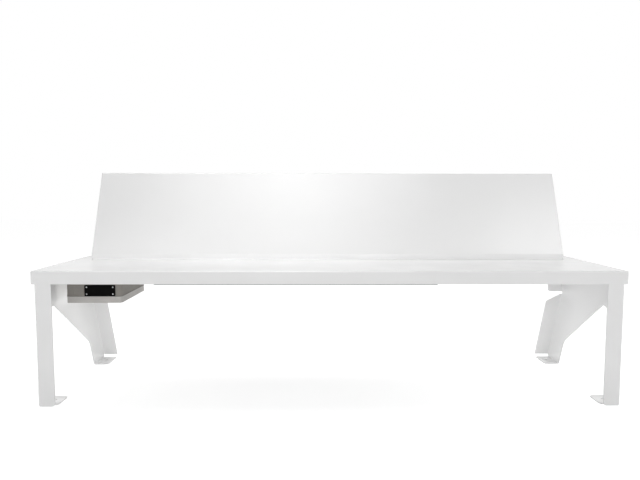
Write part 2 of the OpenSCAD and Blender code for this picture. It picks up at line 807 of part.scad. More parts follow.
module heater_tray() placed() color(tray_grey) difference() {
    union() {
        along_x(tray_x0, tray_x1) polygon(folded(
            [[tray_y - tray_flange_w, under_z], [tray_y + tray_t, under_z],
             [tray_y + tray_t, tray_z + tray_t], [tray_y1 - tray_t, tray_z + tray_t],
             [tray_y1 - tray_t, under_z], [tray_y1 + tray_flange_w, under_z]],
            [0, 0, fold_r - tray_t, fold_r - tray_t, 0, 0], tray_t));
        for (x = [tray_x0, tray_x1 - tray_t])
            along_x(x, x + tray_t) polygon(rounded_loop(
                corners(tray_y, tray_z, tray_y1, under_z), [fold_r, fold_r, 0, 0]));
    }
    at_tray_studs() hole(0, 0, under_z - tray_t - cut_lap, under_z + cut_lap, m5 + hole_gap);
    for (lead = [[heater_lead_y, heater_lead_d], [sensor_lead_y, sensor_lead_d]])
        translate([tray_x0 - cut_lap, lead[0], lead_z]) rotate([0, 90, 0])
            cylinder(r = lead[1] / 2 + grommet_wall, h = tray_t + 2 * cut_lap);
}

module tray_nuts() placed() color(zinc)
    at_tray_studs() nut_below(0, 0, under_z - tray_t, m5);

// Rubber rings where the leads leave the tray
grommet_wall = 1.5;
grommet_lip = 1.5;
module grommet(y, d) {
    translate([tray_x0 - grommet_lip, y, lead_z]) rotate([0, 90, 0]) difference() {
        union() {
            cylinder(r = d / 2 + grommet_wall - thread_gap, h = tray_t + 2 * grommet_lip);
            cylinder(r = d / 2 + grommet_wall + grommet_lip, h = grommet_lip);
            translate([0, 0, grommet_lip + tray_t])
                cylinder(r = d / 2 + grommet_wall + grommet_lip, h = grommet_lip);
        }
        translate([0, 0, -cut_lap])
            cylinder(r = d / 2 + thread_gap, h = tray_t + 2 * (grommet_lip + cut_lap));
    }
}

module tray_grommets() placed() color(seal_black) {
    grommet(heater_lead_y, heater_lead_d);
    grommet(sensor_lead_y, sensor_lead_d);
}

// Lead from x0 in the box to x1 in the tray, with two equal bends up to the tray's level
gland_l = 26;
lead_rise = lead_z - gland_z;
lead_a = acos(1 - lead_rise / (2 * lead_bend_r));
lead_run = 2 * lead_bend_r * sin(lead_a);
lead_bend_x = (gland_x + gland_l + tray_x0 - grommet_lip - lead_run) / 2;

// Points of the lead's middle with the slope there, from x0 to x1
lead_arc_steps = 5;
function lead_route(x0, x1) = concat(
    [[x0, gland_z, 0]],
    [for (i = [0:lead_arc_steps]) let(a = lead_a * i / lead_arc_steps)
        [lead_bend_x + lead_bend_r * sin(a), gland_z + lead_bend_r * (1 - cos(a)), a]],
    [for (i = [lead_arc_steps - 1:-1:0]) let(a = lead_a * i / lead_arc_steps)
        [lead_bend_x + lead_run - lead_bend_r * sin(a), lead_z - lead_bend_r * (1 - cos(a)), a]],
    [[x1, lead_z, 0]]);

lead_sides = 12;
module lead(y, d, x0, x1) {
    route = lead_route(x0, x1);
    rings = len(route);
    polyhedron(
        points = [for (p = route, k = [0:lead_sides - 1]) let(q = 360 * k / lead_sides)
            [p[0] - d / 2 * sin(q) * sin(p[2]), y + d / 2 * cos(q), p[1] + d / 2 * sin(q) * cos(p[2])]],
        faces = concat(
            [[for (k = [0:lead_sides - 1]) k]],
            [for (i = [0:rings - 2], k = [0:lead_sides - 1])
                let(n = (k + 1) % lead_sides, a = i * lead_sides, b = a + lead_sides)
                [a + n, a + k, b + k, b + n]],
            [[for (k = [lead_sides - 1:-1:0]) (rings - 1) * lead_sides + k]]));
}

module heater_lead() placed() color(seal_black)
    lead(heater_lead_y, heater_lead_d, terminal_x1, joint_x);

module sensor_lead() placed() color(gland_grey)
    lead(sensor_lead_y, sensor_lead_d, terminal_x1, sensor_x - sensor_l / 2);

// Control box, open at the bottom
module at_bosses() {
    for (x = boss_xs, y = boss_ys) translate([x, y, 0]) children();
}

module at_plate_screws() {
    for (x = plate_screw_xs, z = plate_screw_zs) translate([x, box_y, z]) rotate([90, 0, 0]) children();
}

module box_body() placed() color(box_grey) difference() {
    union() {
        difference() {
            rounded_block(box_x0, box_y, box_low_z, box_x1, box_y1, box_top_z, box_r);
            rounded_block(box_x0 + box_t, box_y + box_t, box_low_z - cut_lap,
                box_x1 - box_t, box_y1 - box_t, box_roof_z, box_r - box_t);
        }
        intersection() {
            at_bosses() hole(0, 0, box_low_z, box_top_z, boss_r);
            rounded_block(box_x0, box_y, box_low_z, box_x1, box_y1, box_top_z, box_r);
        }
        for (y = din_screw_ys) hole(box_cx, y, din_top_z, box_top_z, din_boss_r);
    }
    at_bosses() hole(0, 0, box_low_z - cut_lap, box_low_z + lid_screw_bite + boss_blind, m4 + body_gap);
    for (y = din_screw_ys) hole(box_cx, y, din_top_z - cut_lap, box_roof_z, m4 + thread_gap);
    for (x = hanger_xs, y = hanger_screw_ys)
        hole(x + hanger_hole_x, y, box_roof_z - cut_lap, box_top_z + cut_lap, m5 + hole_gap);
    at_plate_screws() translate([0, 0, -box_t - cut_lap])
        cylinder(r = m3 + thread_gap, h = box_t + 2 * cut_lap);
    translate([plate_cx - window_w / 2, box_y - cut_lap, plate_low_z + (plate_h - window_h) / 2])
        cube([window_w, box_t + 2 * cut_lap, window_h]);
    for (y = [heater_lead_y, sensor_lead_y])
        translate([box_x1 - box_t - cut_lap, y, gland_z]) rotate([0, 90, 0])
            cylinder(r = gland_thread_r + hole_gap, h = box_t + 2 * cut_lap);
    translate([box_cx, box_y1 + cut_lap, box_low_z + supply_z]) rotate([90, 0, 0])
        cylinder(r = supply_thread_r + hole_gap, h = box_t + 2 * cut_lap);
}

// Strips that hang the box under the seat
module hanger_strip(x) {
    difference() {
        along_y(box_y + hanger_end, box_y1 - hanger_end) polygon(folded(
            [[x + hanger_w / 2, box_top_z], [x - hanger_w / 2, box_top_z],
             [x - hanger_w / 2, under_z], [x + hanger_w / 2, under_z]],
            [0, hanger_t + hanger_bend, hanger_t + hanger_bend, 0], hanger_t));
        for (y = hanger_ys)
            hole(x + hanger_hole_x, y, under_z - hanger_t - cut_lap, under_z + cut_lap, m5 + hole_gap);
        for (y = hanger_screw_ys)
            hole(x + hanger_hole_x, y, box_top_z - cut_lap, box_top_z + hanger_t + cut_lap, m5 + hole_gap);
    }
}

module hanger_strip_left() placed() color(zinc) hanger_strip(hanger_xs[0]);
module hanger_strip_right() placed() color(zinc) hanger_strip(hanger_xs[1]);

module hanger_nuts() placed() color(zinc)
    for (x = hanger_xs, y = hanger_ys)
        nut_below(x + hanger_hole_x, y, under_z - hanger_t, m5);

// Screws that go up through the roof of the box into the strips
hanger_screw_l = box_t + hanger_t + nut_h(m5) + strip_spare;
module hanger_screws() placed() color(zinc)
    for (x = hanger_xs, y = hanger_screw_ys)
        translate([x + hanger_hole_x, y, box_roof_z]) mirror([0, 0, 1])
            button_screw(0, 0, 0, m5, hanger_screw_l);

module hanger_screw_nuts() placed() color(zinc)
    for (x = hanger_xs, y = hanger_screw_ys)
        translate([x + hanger_hole_x, y, box_top_z + hanger_t]) mirror([0, 0, 1])
            nut_below(0, 0, 0, m5);

// Lid, which closes the box from below
module box_lid() placed() color(lid_grey) difference() {
    union() {
        difference() {
            rounded_block(box_x0, box_y, lid_low_z, box_x1, box_y1, lid_rim_z, box_r);
            rounded_block(box_x0 + box_t, box_y + box_t, lid_low_z + box_t,
                box_x1 - box_t, box_y1 - box_t, lid_rim_z + cut_lap, box_r - box_t);
        }
        intersection() {
            at_bosses() hole(0, 0, lid_low_z, lid_rim_z, boss_r);
            rounded_block(box_x0, box_y, lid_low_z, box_x1, box_y1, lid_rim_z, box_r);
        }
    }
    at_bosses() {
        hole(0, 0, lid_low_z - cut_lap, lid_rim_z + cut_lap, m4 + body_gap);
        hole(0, 0, lid_low_z - cut_lap, lid_low_z + lid_head_h, head_r(m4) + hole_gap);
    }
}

module lid_seal() placed() color(seal_black) difference() {
    rounded_block(box_x0 + seal_in, box_y + seal_in, lid_rim_z,
        box_x1 - seal_in, box_y1 - seal_in, lid_rim_z + seal_t, box_r - seal_in);
    rounded_block(box_x0 + box_t, box_y + box_t, lid_rim_z - cut_lap,
        box_x1 - box_t, box_y1 - box_t, lid_rim_z + seal_t + cut_lap, box_r - box_t);
    at_bosses() hole(0, 0, lid_rim_z - cut_lap, lid_rim_z + seal_t + cut_lap, m4 + body_gap);
}

seal_in = 0.4;
lid_screw_l = lid_rim_z - lid_low_z - lid_head_h + seam_h + lid_screw_bite;
module lid_screws() placed() color(zinc)
    at_bosses() translate([0, 0, lid_low_z + lid_head_h]) mirror([0, 0, 1])
        button_screw(0, 0, 0, m4, lid_screw_l);

// Black plate over the window in the front of the box
module plate_outline(h) {
    difference() {
        along_y(-h, 0) polygon(rounded_loop(
            corners(plate_cx - plate_w / 2, plate_low_z, plate_cx + plate_w / 2, plate_low_z + plate_h),
            [plate_r, plate_r, plate_r, plate_r]));
        for (x = plate_screw_xs, z = plate_screw_zs)
            translate([x, cut_lap, z]) rotate([90, 0, 0])
                cylinder(r = m3 + thread_gap, h = h + 2 * cut_lap);
    }
}

plate_r = 4;
module front_plate() placed() color(plate_black)
    translate([0, box_y - plate_seal_t, 0]) plate_outline(plate_t);

module front_plate_seal() placed() color(seal_black) difference() {
    translate([0, box_y, 0]) plate_outline(plate_seal_t);
    translate([plate_cx - window_w / 2, box_y - plate_seal_t - cut_lap,
        plate_low_z + (plate_h - window_h) / 2])
        cube([window_w, plate_seal_t + 2 * cut_lap, window_h]);
}

plate_screw_l = plate_t + plate_seal_t + box_t + screw_spare;
module front_plate_screws() placed() color(zinc)
    at_plate_screws() button_screw(0, 0, plate_seal_t + plate_t, m3, plate_screw_l);

// Cable glands: a hollow threaded neck through the wall, a hexagon, and a cap with the seal's narrow bore
gland_thread_r = 7;
supply_thread_r = 9;
gland_hex_h = 5;
gland_neck_h = 6;
gland_cap_h = 8;
gland_neck_in = 1;
gland_nose_wall = 2;
gland_thread_wall = 1.5;
gland_tail = 1;
locknut_h = 4;
module gland(af, thread_r, bore_d) {
    inner_l = box_t + locknut_h + gland_tail;
    cap_z = gland_hex_h + gland_neck_h;
    dome_z = cap_z + gland_cap_h;
    difference() {
        union() {
            translate([0, 0, -inner_l]) cylinder(r = thread_r, h = inner_l + weld_lap);
            cylinder(r = af / 2 / cos(30), h = gland_hex_h, $fn = 6);
            cylinder(r = af / 2 - gland_neck_in, h = cap_z + weld_lap);
            translate([0, 0, cap_z]) cylinder(r = af / 2 / cos(30), h = gland_cap_h, $fn = 6);
            translate([0, 0, dome_z])
                cylinder(r1 = af / 2 - gland_neck_in, r2 = bore_d / 2 + gland_nose_wall,
                    h = gland_l - dome_z);
        }
        translate([0, 0, -inner_l - cut_lap])
            cylinder(r = thread_r - gland_thread_wall, h = inner_l + gland_hex_h + cut_lap);
        cylinder(r = bore_d / 2 + thread_gap, h = gland_l + cut_lap);
    }
}

module locknut(af, thread_r) {
    difference() {
        cylinder(r = af / 2 / cos(30), h = locknut_h, $fn = 6);
        translate([0, 0, -cut_lap]) cylinder(r = thread_r + thread_gap, h = locknut_h + 2 * cut_lap);
    }
}

module on_lead_wall(y) {
    translate([box_x1, y, gland_z]) rotate([0, 90, 0]) children();
}

module on_supply_wall() {
    translate([box_cx, box_y1, box_low_z + supply_z]) rotate([-90, 0, 0]) children();
}

module heater_gland() placed() color(gland_grey)
    on_lead_wall(heater_lead_y) gland(gland_af, gland_thread_r, heater_lead_d);

module sensor_gland() placed() color(gland_grey)
    on_lead_wall(sensor_lead_y) gland(gland_af, gland_thread_r, sensor_lead_d);

module supply_gland() placed() color(gland_grey)
    on_supply_wall() gland(supply_af, supply_thread_r, supply_d);

module gland_locknuts() placed() color(gland_grey) {
    for (y = [heater_lead_y, sensor_lead_y])
        on_lead_wall(y) translate([0, 0, -box_t - locknut_h]) locknut(gland_af, gland_thread_r);
    on_supply_wall() translate([0, 0, -box_t - locknut_h]) locknut(supply_af, supply_thread_r);
}

// Mounting rail of top-hat section, hanging from bosses on the roof
module mounting_rail() placed() color(zinc) difference() {
    along_y(din_y0, din_y0 + din_l) translate([box_cx, 0]) polygon(folded(
        [[-din_w / 2, din_face_z + din_t], [-din_mid_w / 2, din_face_z + din_t],
         [-din_mid_w / 2, din_top_z], [din_mid_w / 2, din_top_z],
         [din_mid_w / 2, din_face_z + din_t], [din_w / 2, din_face_z + din_t]],
        [0, 0, 0, 0, 0, 0], din_t));
    for (y = din_screw_ys) hole(box_cx, y, din_top_z - din_t - cut_lap, din_top_z + cut_lap, m4 + hole_gap);
}

module mounting_rail_screws() placed() color(zinc)
    for (y = din_screw_ys)
        translate([box_cx, y, din_top_z - din_t]) mirror([0, 0, 1])
            button_screw(0, 0, 0, m4, din_t + din_boss_h);

// Housing of a module on the mounting rail, with a narrower nose
shoulder_d = 42;
shoulder_z = din_face_z - shoulder_d;
nose_l = 45;
module module_housing(y, w) {
    along_y(y, y + w) translate([box_cx, 0]) polygon([
        [-module_l / 2, din_face_z], [module_l / 2, din_face_z], [module_l / 2, shoulder_z],
        [nose_l / 2, shoulder_z], [nose_l / 2, module_face_z], [-nose_l / 2, module_face_z],
        [-nose_l / 2, shoulder_z], [-module_l / 2, shoulder_z]]);
}

module circuit_breaker() placed() color(module_grey) difference() {
    module_housing(breaker_y, breaker_w);
    translate([box_cx, toggle_y + toggle_w / 2 + body_gap, toggle_z]) rotate([90, 0, 0])
        cylinder(r = toggle_r + body_gap, h = toggle_w + 2 * body_gap);
}

// Toggle with a drum in the breaker and a lever out of it
toggle_rest_a = 28;
lever_t = 4;
module breaker_toggle() placed() color(plate_black)
    translate([box_cx, toggle_y, toggle_z]) rotate([0, toggle_rest_a, 0]) {
        translate([0, toggle_w / 2, 0]) rotate([90, 0, 0]) cylinder(r = toggle_r, h = toggle_w);
        translate([-lever_t / 2, -toggle_w / 2, -toggle_l])
            cube([lever_t, toggle_w, toggle_l - toggle_r / 2]);
    }

module thermostat() placed() color(module_grey) difference() {
    module_housing(thermostat_y, thermostat_w);
    hole(dial_x, dial_y, module_face_z - cut_lap, module_face_z + spindle_l, spindle_r + body_gap);
}

// Dial with its spindle in the thermostat and a raised pointer on its face
spindle_r = 3;
spindle_l = 8;
pointer_w = 2;
pointer_h = 1;
module thermostat_dial() placed() color(plate_black) {
    translate([dial_x, dial_y, module_face_z - body_gap - dial_h]) {
        cylinder(r = dial_r, h = dial_h);
        cylinder(r = spindle_r, h = dial_h + spindle_l - body_gap);
        translate([-pointer_w / 2, 0, -pointer_h]) cube([pointer_w, dial_r - pointer_h, 2 * pointer_h]);
    }
}

module terminal_block() placed() color(module_grey) difference() {
    translate([box_cx - terminal_half_l, terminal_y, terminal_face_z])
        cube([2 * terminal_half_l, terminal_w, terminal_d]);
    for (i = [0:terminal_n - 1], side = [-1, 1])
        hole(box_cx + side * (terminal_half_l - terminal_screw_in),
            terminal_y + terminal_w * (i + 0.5) / terminal_n,
            terminal_face_z - cut_lap, terminal_face_z + terminal_screw_d, terminal_screw_r);
}
terminal_n = 10;
terminal_screw_in = 8;
terminal_screw_d = 6;
terminal_screw_r = 2;

module power_supply() placed() color(module_grey) module_housing(supply_y, supply_w);

seat_panel();
front_seat_rail();
rear_seat_rail();
seat_studs();
backrest_panel();
backrest_bracket_left();
backrest_bracket_middle();
backrest_bracket_right();
backrest_studs();
backrest_stud_nuts();
bracket_bolts();
bracket_nuts();
foot_flange_screws();
foot_flange_nuts();
left_end_frame();
right_end_frame();
frame_nuts();
heating_mat();
heater_joint_block();
temperature_sensor();
insulation_board();
heater_tray();
tray_nuts();
tray_grommets();
heater_lead();
sensor_lead();
box_body();
hanger_strip_left();
hanger_strip_right();
hanger_nuts();
hanger_screws();
hanger_screw_nuts();
box_lid();
lid_seal();
lid_screws();
front_plate();
front_plate_seal();
front_plate_screws();
heater_gland();
sensor_gland();
supply_gland();
gland_locknuts();
mounting_rail();
mounting_rail_screws();
circuit_breaker();
breaker_toggle();
thermostat();
thermostat_dial();
terminal_block();
power_supply();
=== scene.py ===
"""Looks of a heated bench of folded white sheet steel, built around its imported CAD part."""
import json
import math

import bmesh
import bpy
from mathutils import Matrix, Vector


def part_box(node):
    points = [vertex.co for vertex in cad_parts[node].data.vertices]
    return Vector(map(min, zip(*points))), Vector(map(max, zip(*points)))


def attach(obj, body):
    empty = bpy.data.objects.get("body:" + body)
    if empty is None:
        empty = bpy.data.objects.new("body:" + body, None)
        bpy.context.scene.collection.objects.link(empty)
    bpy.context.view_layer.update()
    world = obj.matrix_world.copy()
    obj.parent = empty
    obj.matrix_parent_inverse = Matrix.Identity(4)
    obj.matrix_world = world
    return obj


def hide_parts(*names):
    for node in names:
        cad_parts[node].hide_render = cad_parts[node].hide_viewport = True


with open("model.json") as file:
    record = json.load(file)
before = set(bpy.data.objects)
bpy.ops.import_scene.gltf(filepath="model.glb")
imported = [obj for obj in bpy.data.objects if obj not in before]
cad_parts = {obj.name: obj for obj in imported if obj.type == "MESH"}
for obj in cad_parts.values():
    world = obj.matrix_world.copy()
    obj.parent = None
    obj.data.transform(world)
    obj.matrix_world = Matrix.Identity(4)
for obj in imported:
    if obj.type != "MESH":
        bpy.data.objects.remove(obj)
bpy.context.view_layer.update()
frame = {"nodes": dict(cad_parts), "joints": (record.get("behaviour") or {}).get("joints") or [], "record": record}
nodes = frame["nodes"]

# Camera, in metres and radians
CAMERA_AT = (-0.0532, -2.1391, 0.7111)
CAMERA_PITCH = 0.0772
CAMERA_YAW = 0.0091
CAMERA_ROLL = 0.0013
# Lens and sensor width, in millimetres
CAMERA_LENS = 31.30
SENSOR_W = 36.0


def add_camera():
    """A camera at the photograph's place, looking slightly down on the bench."""
    cy, sy = math.cos(CAMERA_YAW), math.sin(CAMERA_YAW)
    cp, sp = math.cos(CAMERA_PITCH), math.sin(CAMERA_PITCH)
    forward = Vector((sy * cp, cy * cp, -sp))
    right = Vector((cy, -sy, 0))
    up = right.cross(forward)
    cr, sr = math.cos(CAMERA_ROLL), math.sin(CAMERA_ROLL)
    right, up = cr * right + sr * up, cr * up - sr * right
    data = bpy.data.cameras.new("camera")
    data.lens = CAMERA_LENS
    data.sensor_width = SENSOR_W
    camera = bpy.data.objects.new("camera", data)
    turn = Matrix((right, up, -forward)).transposed().to_4x4()
    camera.matrix_world = Matrix.Translation(CAMERA_AT) @ turn
    bpy.context.scene.collection.objects.link(camera)
    bpy.context.scene.camera = camera


add_camera()
bpy.context.scene.view_settings.view_transform = "Standard"

# Materials. Most values of a noise texture lie in this stretch
NOISE_LOW, NOISE_HIGH = 0.3, 0.7


class Shade:
    """A node material with one Principled shader, and helpers that add textures to it."""

    def __init__(self, name, rough=0.5, metal=0.0, shine=0.5):
        self.mat = bpy.data.materials.new(name)
        self.mat.use_nodes = True
        self.tree = self.mat.node_tree
        self.bsdf = self.tree.nodes["Principled BSDF"]
        self.bsdf.inputs["Roughness"].default_value = rough
        self.bsdf.inputs["Metallic"].default_value = metal
        self.bsdf.inputs["Specular IOR Level"].default_value = shine
        self.coord = self.add("ShaderNodeTexCoord").outputs["Object"]
        self.normal = None

    def add(self, kind):
        return self.tree.nodes.new(kind)

    def link(self, out, into):
        self.tree.links.new(out, into)

    def noise(self, scale, detail=2.0, rough=0.5, stretch=None):
        """Noise whose scale is the number of features in a metre."""
        place = self.coord
        if stretch:
            mapping = self.add("ShaderNodeMapping")
            mapping.inputs["Scale"].default_value = stretch
            self.link(place, mapping.inputs["Vector"])
            place = mapping.outputs["Vector"]
        texture = self.add("ShaderNodeTexNoise")
        texture.inputs["Scale"].default_value = scale
        texture.inputs["Detail"].default_value = detail
        texture.inputs["Roughness"].default_value = rough
        self.link(place, texture.inputs["Vector"])
        return texture.outputs["Fac"]

    def colour(self, source, first, second):
        """The base colour runs from first to second along a texture."""
        ramp = self.add("ShaderNodeValToRGB")
        stops = zip(ramp.color_ramp.elements, (NOISE_LOW, NOISE_HIGH), (first, second))
        for element, position, shade in stops:
            element.position = position
            element.color = (*shade, 1)
        self.link(source, ramp.inputs["Fac"])
        self.link(ramp.outputs["Color"], self.bsdf.inputs["Base Color"])

    def roughness(self, source, low, high):
        """The roughness runs from low to high along a texture."""
        spread = self.add("ShaderNodeMapRange")
        ends = zip(("From Min", "From Max", "To Min", "To Max"), (NOISE_LOW, NOISE_HIGH, low, high))
        for key, value in ends:
            spread.inputs[key].default_value = value
        self.link(source, spread.inputs["Value"])
        self.link(spread.outputs["Result"], self.bsdf.inputs["Roughness"])

    def bump(self, source, depth):
        """Relief whose full height is depth, in metres, over the relief added before it."""
        node = self.add("ShaderNodeBump")
        node.inputs["Distance"].default_value = depth
        self.link(source, node.inputs["Height"])
        if self.normal:
            self.link(self.normal, node.inputs["Normal"])
        self.normal = node.outputs["Normal"]
        self.link(self.normal, self.bsdf.inputs["Normal"])


def coat_material():
    """Powder coat: slight ripple and fine grain under a gloss."""
    s = Shade("white_coat")
    s.colour(s.noise(2.5, 3), (0.886, 0.886, 0.885), (0.906, 0.906, 0.905))
    s.roughness(s.noise(6, 3), 0.20, 0.25)
    s.bump(s.noise(1.6, 1, stretch=(1, 1, 2)), 0.0006)
    s.bump(s.noise(420, 2), 0.00002)
    return s.mat


def zinc_material():
    s = Shade("zinc_steel", metal=1.0)
    s.colour(s.noise(90, 3), (0.55, 0.56, 0.58), (0.70, 0.71, 0.73))
    s.roughness(s.noise(160, 3), 0.26, 0.42)
    s.bump(s.noise(900, 2, stretch=(1, 1, 0.15)), 0.00002)
    return s.mat


def wool_material():
    s = Shade("mineral_wool", rough=0.95)
    s.colour(s.noise(220, 4, stretch=(1, 1, 6)), (0.44, 0.36, 0.17), (0.62, 0.54, 0.30))
    s.bump(s.noise(260, 5, 0.7, stretch=(1, 1, 5)), 0.0008)
    return s.mat


def plastic_material(name, first, second, rough, grain=1400, depth=0.00003, shine=0.5):
    """Moulded plastic or satin coat between two colours, with grains a metre and their depth."""
    s = Shade(name, shine=shine)
    s.colour(s.noise(14, 3), first, second)
    s.roughness(s.noise(40, 3), rough - 0.06, rough + 0.06)
    s.bump(s.noise(grain, 2), depth)
    return s.mat


PLASTICS = {
    "box_grey": ((0.305, 0.289, 0.265), (0.352, 0.334, 0.307), {"rough": 0.62, "shine": 0.15}),
    # The heater tray's near-black is partly its own dark paint and partly painted shade, to darken its thin edge
    # under the front lip
    "tray_grey": ((0.060, 0.060, 0.063), (0.075, 0.075, 0.078),
                  {"rough": 0.42, "grain": 700, "depth": 0.00004}),
    "lid_grey": ((0.58, 0.562, 0.540), (0.63, 0.612, 0.590), {"rough": 0.58, "shine": 0.2}),
    "plate_black": ((0.0015, 0.0015, 0.0015), (0.004, 0.004, 0.0035),
                    {"rough": 0.3, "grain": 300, "depth": 0.00001, "shine": 0.03}),
    "black_rubber": ((0.018, 0.018, 0.018), (0.028, 0.028, 0.028), {"rough": 0.72, "grain": 900}),
    "sensor_jacket": ((0.10, 0.105, 0.11), (0.13, 0.135, 0.14), {"rough": 0.6, "grain": 900}),
    "gland_grey": ((0.085, 0.09, 0.095), (0.11, 0.115, 0.12), {"rough": 0.45}),
    "module_grey": ((0.54, 0.54, 0.51), (0.58, 0.58, 0.55), {"rough": 0.45}),
    "terminal_grey": ((0.38, 0.39, 0.38), (0.42, 0.43, 0.42), {"rough": 0.45}),
    "control_black": ((0.018, 0.018, 0.018), (0.026, 0.026, 0.026), {"rough": 0.4}),
    "silicone_orange": ((0.44, 0.085, 0.025), (0.52, 0.11, 0.035),
                        {"rough": 0.5, "grain": 600, "depth": 0.0001}),
}
MATERIALS = {"white_coat": coat_material(), "zinc_steel": zinc_material(), "mineral_wool": wool_material()}
for name, (first, second, finish) in PLASTICS.items():
    MATERIALS[name] = plastic_material(name, first, second, **finish)
SLOT_OF = {part["node"]: part["material_slot"] for part in frame["record"]["subparts"]}


def dress(obj, slot):
    """Gives a piece the one material of its slot."""
    obj.data.materials.clear()
    obj.data.materials.append(MATERIALS[slot])


for name, obj in nodes.items():
    dress(obj, SLOT_OF[name])


# Meshes of the pieces
MM = 0.001
SIDES = 36
SHARP = math.radians(30)
HERE = Matrix.Identity(4)
UP, DOWN = Vector((0, 0, 1)), Vector((0, 0, -1))
RIGHT, BACK, FRONT = Vector((1, 0, 0)), Vector((0, 1, 0)), Vector((0, -1, 0))
# Corners of a rectangle: side in x, side in y, and the angle where the quarter circle starts, in degrees
CORNERS = ((1, 1, 0), (-1, 1, 90), (-1, -1, 180), (1, -1, 270))


def middle(box):
    return (box[0] + box[1]) / 2


def hexagon(corner, limit=math.inf):
    """Radius of a hexagon at each angle, with its corners cut at a limit."""
    apothem = corner * math.cos(math.pi / 6)
    return lambda a: min(apothem / math.cos(a % (math.pi / 3) - math.pi / 6), limit)


def ring(z, radius, n=SIDES):
    """Points round the Z axis. The radius is a number or a function of the angle."""
    points = []
    for k in range(n):
        a = 2 * math.pi * k / n
        r = radius(a) if callable(radius) else radius
        points.append((r * math.cos(a), r * math.sin(a), z))
    return points


def turned(at, axis, spin=0.0):
    """Matrix that puts a local Z axis along axis, at a place."""
    z = Vector(axis).normalized()
    x = RIGHT if abs(z.x) < 0.9 else BACK
    y = z.cross(x).normalized()
    x = y.cross(z)
    turn = Matrix((x, y, z)).transposed().to_4x4()
    return Matrix.Translation(at) @ turn @ Matrix.Rotation(spin, 4, "Z")


def add_piece(name, mesh, slot, body="bench"):
    """A visible piece in a material slot, riding with a body."""
    obj = bpy.data.objects.new(name, mesh)
    bpy.context.scene.collection.objects.link(obj)
    dress(obj, slot)
    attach(obj, body)
    return obj


class Form:
    """Closed shells gathered into one mesh."""

    def __init__(self):
        self.verts, self.faces = [], []

    def add(self, verts, faces, place):
        start = len(self.verts)
        self.verts += [place @ Vector(v) for v in verts]
        self.faces += [[start + i for i in face] for face in faces]

    def rings(self, rings, place=HERE, closed=False):
        """Joins rings of equal length. The ends are capped, or joined where closed."""
        n, count = len(rings[0]), len(rings)
        faces = []
        for i in range(count if closed else count - 1):
            j = (i + 1) % count
            faces += [(i * n + k, i * n + (k + 1) % n, j * n + (k + 1) % n, j * n + k) for k in range(n)]
        if not closed:
            faces += [tuple(reversed(range(n))), tuple((count - 1) * n + k for k in range(n))]
        self.add([p for r in rings for p in r], faces, place)

    def block(self, lo, hi, edge, place=HERE):
        """Block with bevelled edges, from corner lo to corner hi."""
        lo, hi = Vector(lo), Vector(hi)
        outline = []
        for sx, sy, _ in CORNERS:
            x, y = (hi.x if sx > 0 else lo.x), (hi.y if sy > 0 else lo.y)
            first, second = (x, y - sy * edge), (x - sx * edge, y)
            outline += [first, second] if sx * sy > 0 else [second, first]
        mid = middle((lo, hi))

        def level(z, inset):
            fx = 1 - 2 * inset / (hi.x - lo.x)
            fy = 1 - 2 * inset / (hi.y - lo.y)
            return [(mid.x + (x - mid.x) * fx, mid.y + (y - mid.y) * fy, z) for x, y in outline]

        levels = ((lo.z, edge), (lo.z + edge, 0), (hi.z - edge, 0), (hi.z, edge))
        self.rings([level(z, inset) for z, inset in levels], place)

    def bar(self, x, y, stretch, half_x, half_y, edge, place=HERE):
        """Block round a middle line at x, y, over a stretch of height."""
        low, high = stretch
        self.block((x - half_x, y - half_y, low), (x + half_x, y + half_y, high), edge, place)

    def tube(self, points, radius, n):
        """Tube along points, with radius a number or a function of the index."""
        rings = []
        for i, p in enumerate(points):
            a, b = points[max(0, i - 1)], points[min(len(points) - 1, i + 1)]
            r = radius(i) if callable(radius) else radius
            place = turned(p, Vector(b) - Vector(a))
            rings.append([place @ Vector(q) for q in ring(0, r, n)])
        self.rings(rings)

    def piece(self, name, slot, body="bench", replaces=()):
        """Makes the piece, smooth but for its sharp edges, in place of the nodes that it replaces."""
        mesh = bpy.data.meshes.new(name)
        mesh.from_pydata([tuple(v) for v in self.verts], [], self.faces)
        form = bmesh.new()
        form.from_mesh(mesh)
        bmesh.ops.recalc_face_normals(form, faces=form.faces)
        form.to_mesh(mesh)
        form.free()
        mesh.shade_smooth()
        mesh.set_sharp_from_angle(angle=SHARP)
        obj = add_piece(name, mesh, slot, body)
        if replaces:
            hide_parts(*replaces)


def islands(name):
    """Lowest and highest corners of each solid of a CAD node, in order of place."""
    mesh = nodes[name].data
    spots, at = {}, []
    for v in mesh.vertices:
        key = tuple(round(c, 5) for c in v.co)
        at.append(spots.setdefault(key, len(spots)))
    parent = list(range(len(spots)))

    def top(i):
        while parent[i] != i:
            parent[i] = parent[parent[i]]
            i = parent[i]
        return i

    for face in mesh.polygons:
        first = top(at[face.vertices[0]])
        for v in face.vertices[1:]:
            parent[top(at[v])] = first
    groups = {}
    for key, i in spots.items():
        groups.setdefault(top(i), []).append(key)
    boxes = []
    for points in groups.values():
        lo = Vector([min(p[k] for p in points) for k in range(3)])
        hi = Vector([max(p[k] for p in points) for k in range(3)])
        boxes.append((lo, hi))
    return sorted(boxes, key=lambda b: tuple(b[0]))


# Fasteners: each is made along its local Z axis from the sizes of its CAD solid.
# Thread pitch by thread diameter, both in millimetres
PITCH = {8: 1.25, 6: 1.0, 5: 0.8, 4: 0.7, 3: 0.5}
# Rings in a turn of thread, sides of a ring, and depth and end chamfer as shares of the pitch
THREAD_STEPS = 4
THREAD_SIDES = 20
THREAD_DEPTH = 0.55
THREAD_CHAMFER = 0.8
# Sizes of a nut and of a screw's head, as shares of the thread's radius
NUT_CORNER = 1.87
NUT_HEIGHT = 1.6
HEAD_RADIUS = 1.75
HEAD_HEIGHT = 1.1
NUT_PLAY = 0.1 * MM
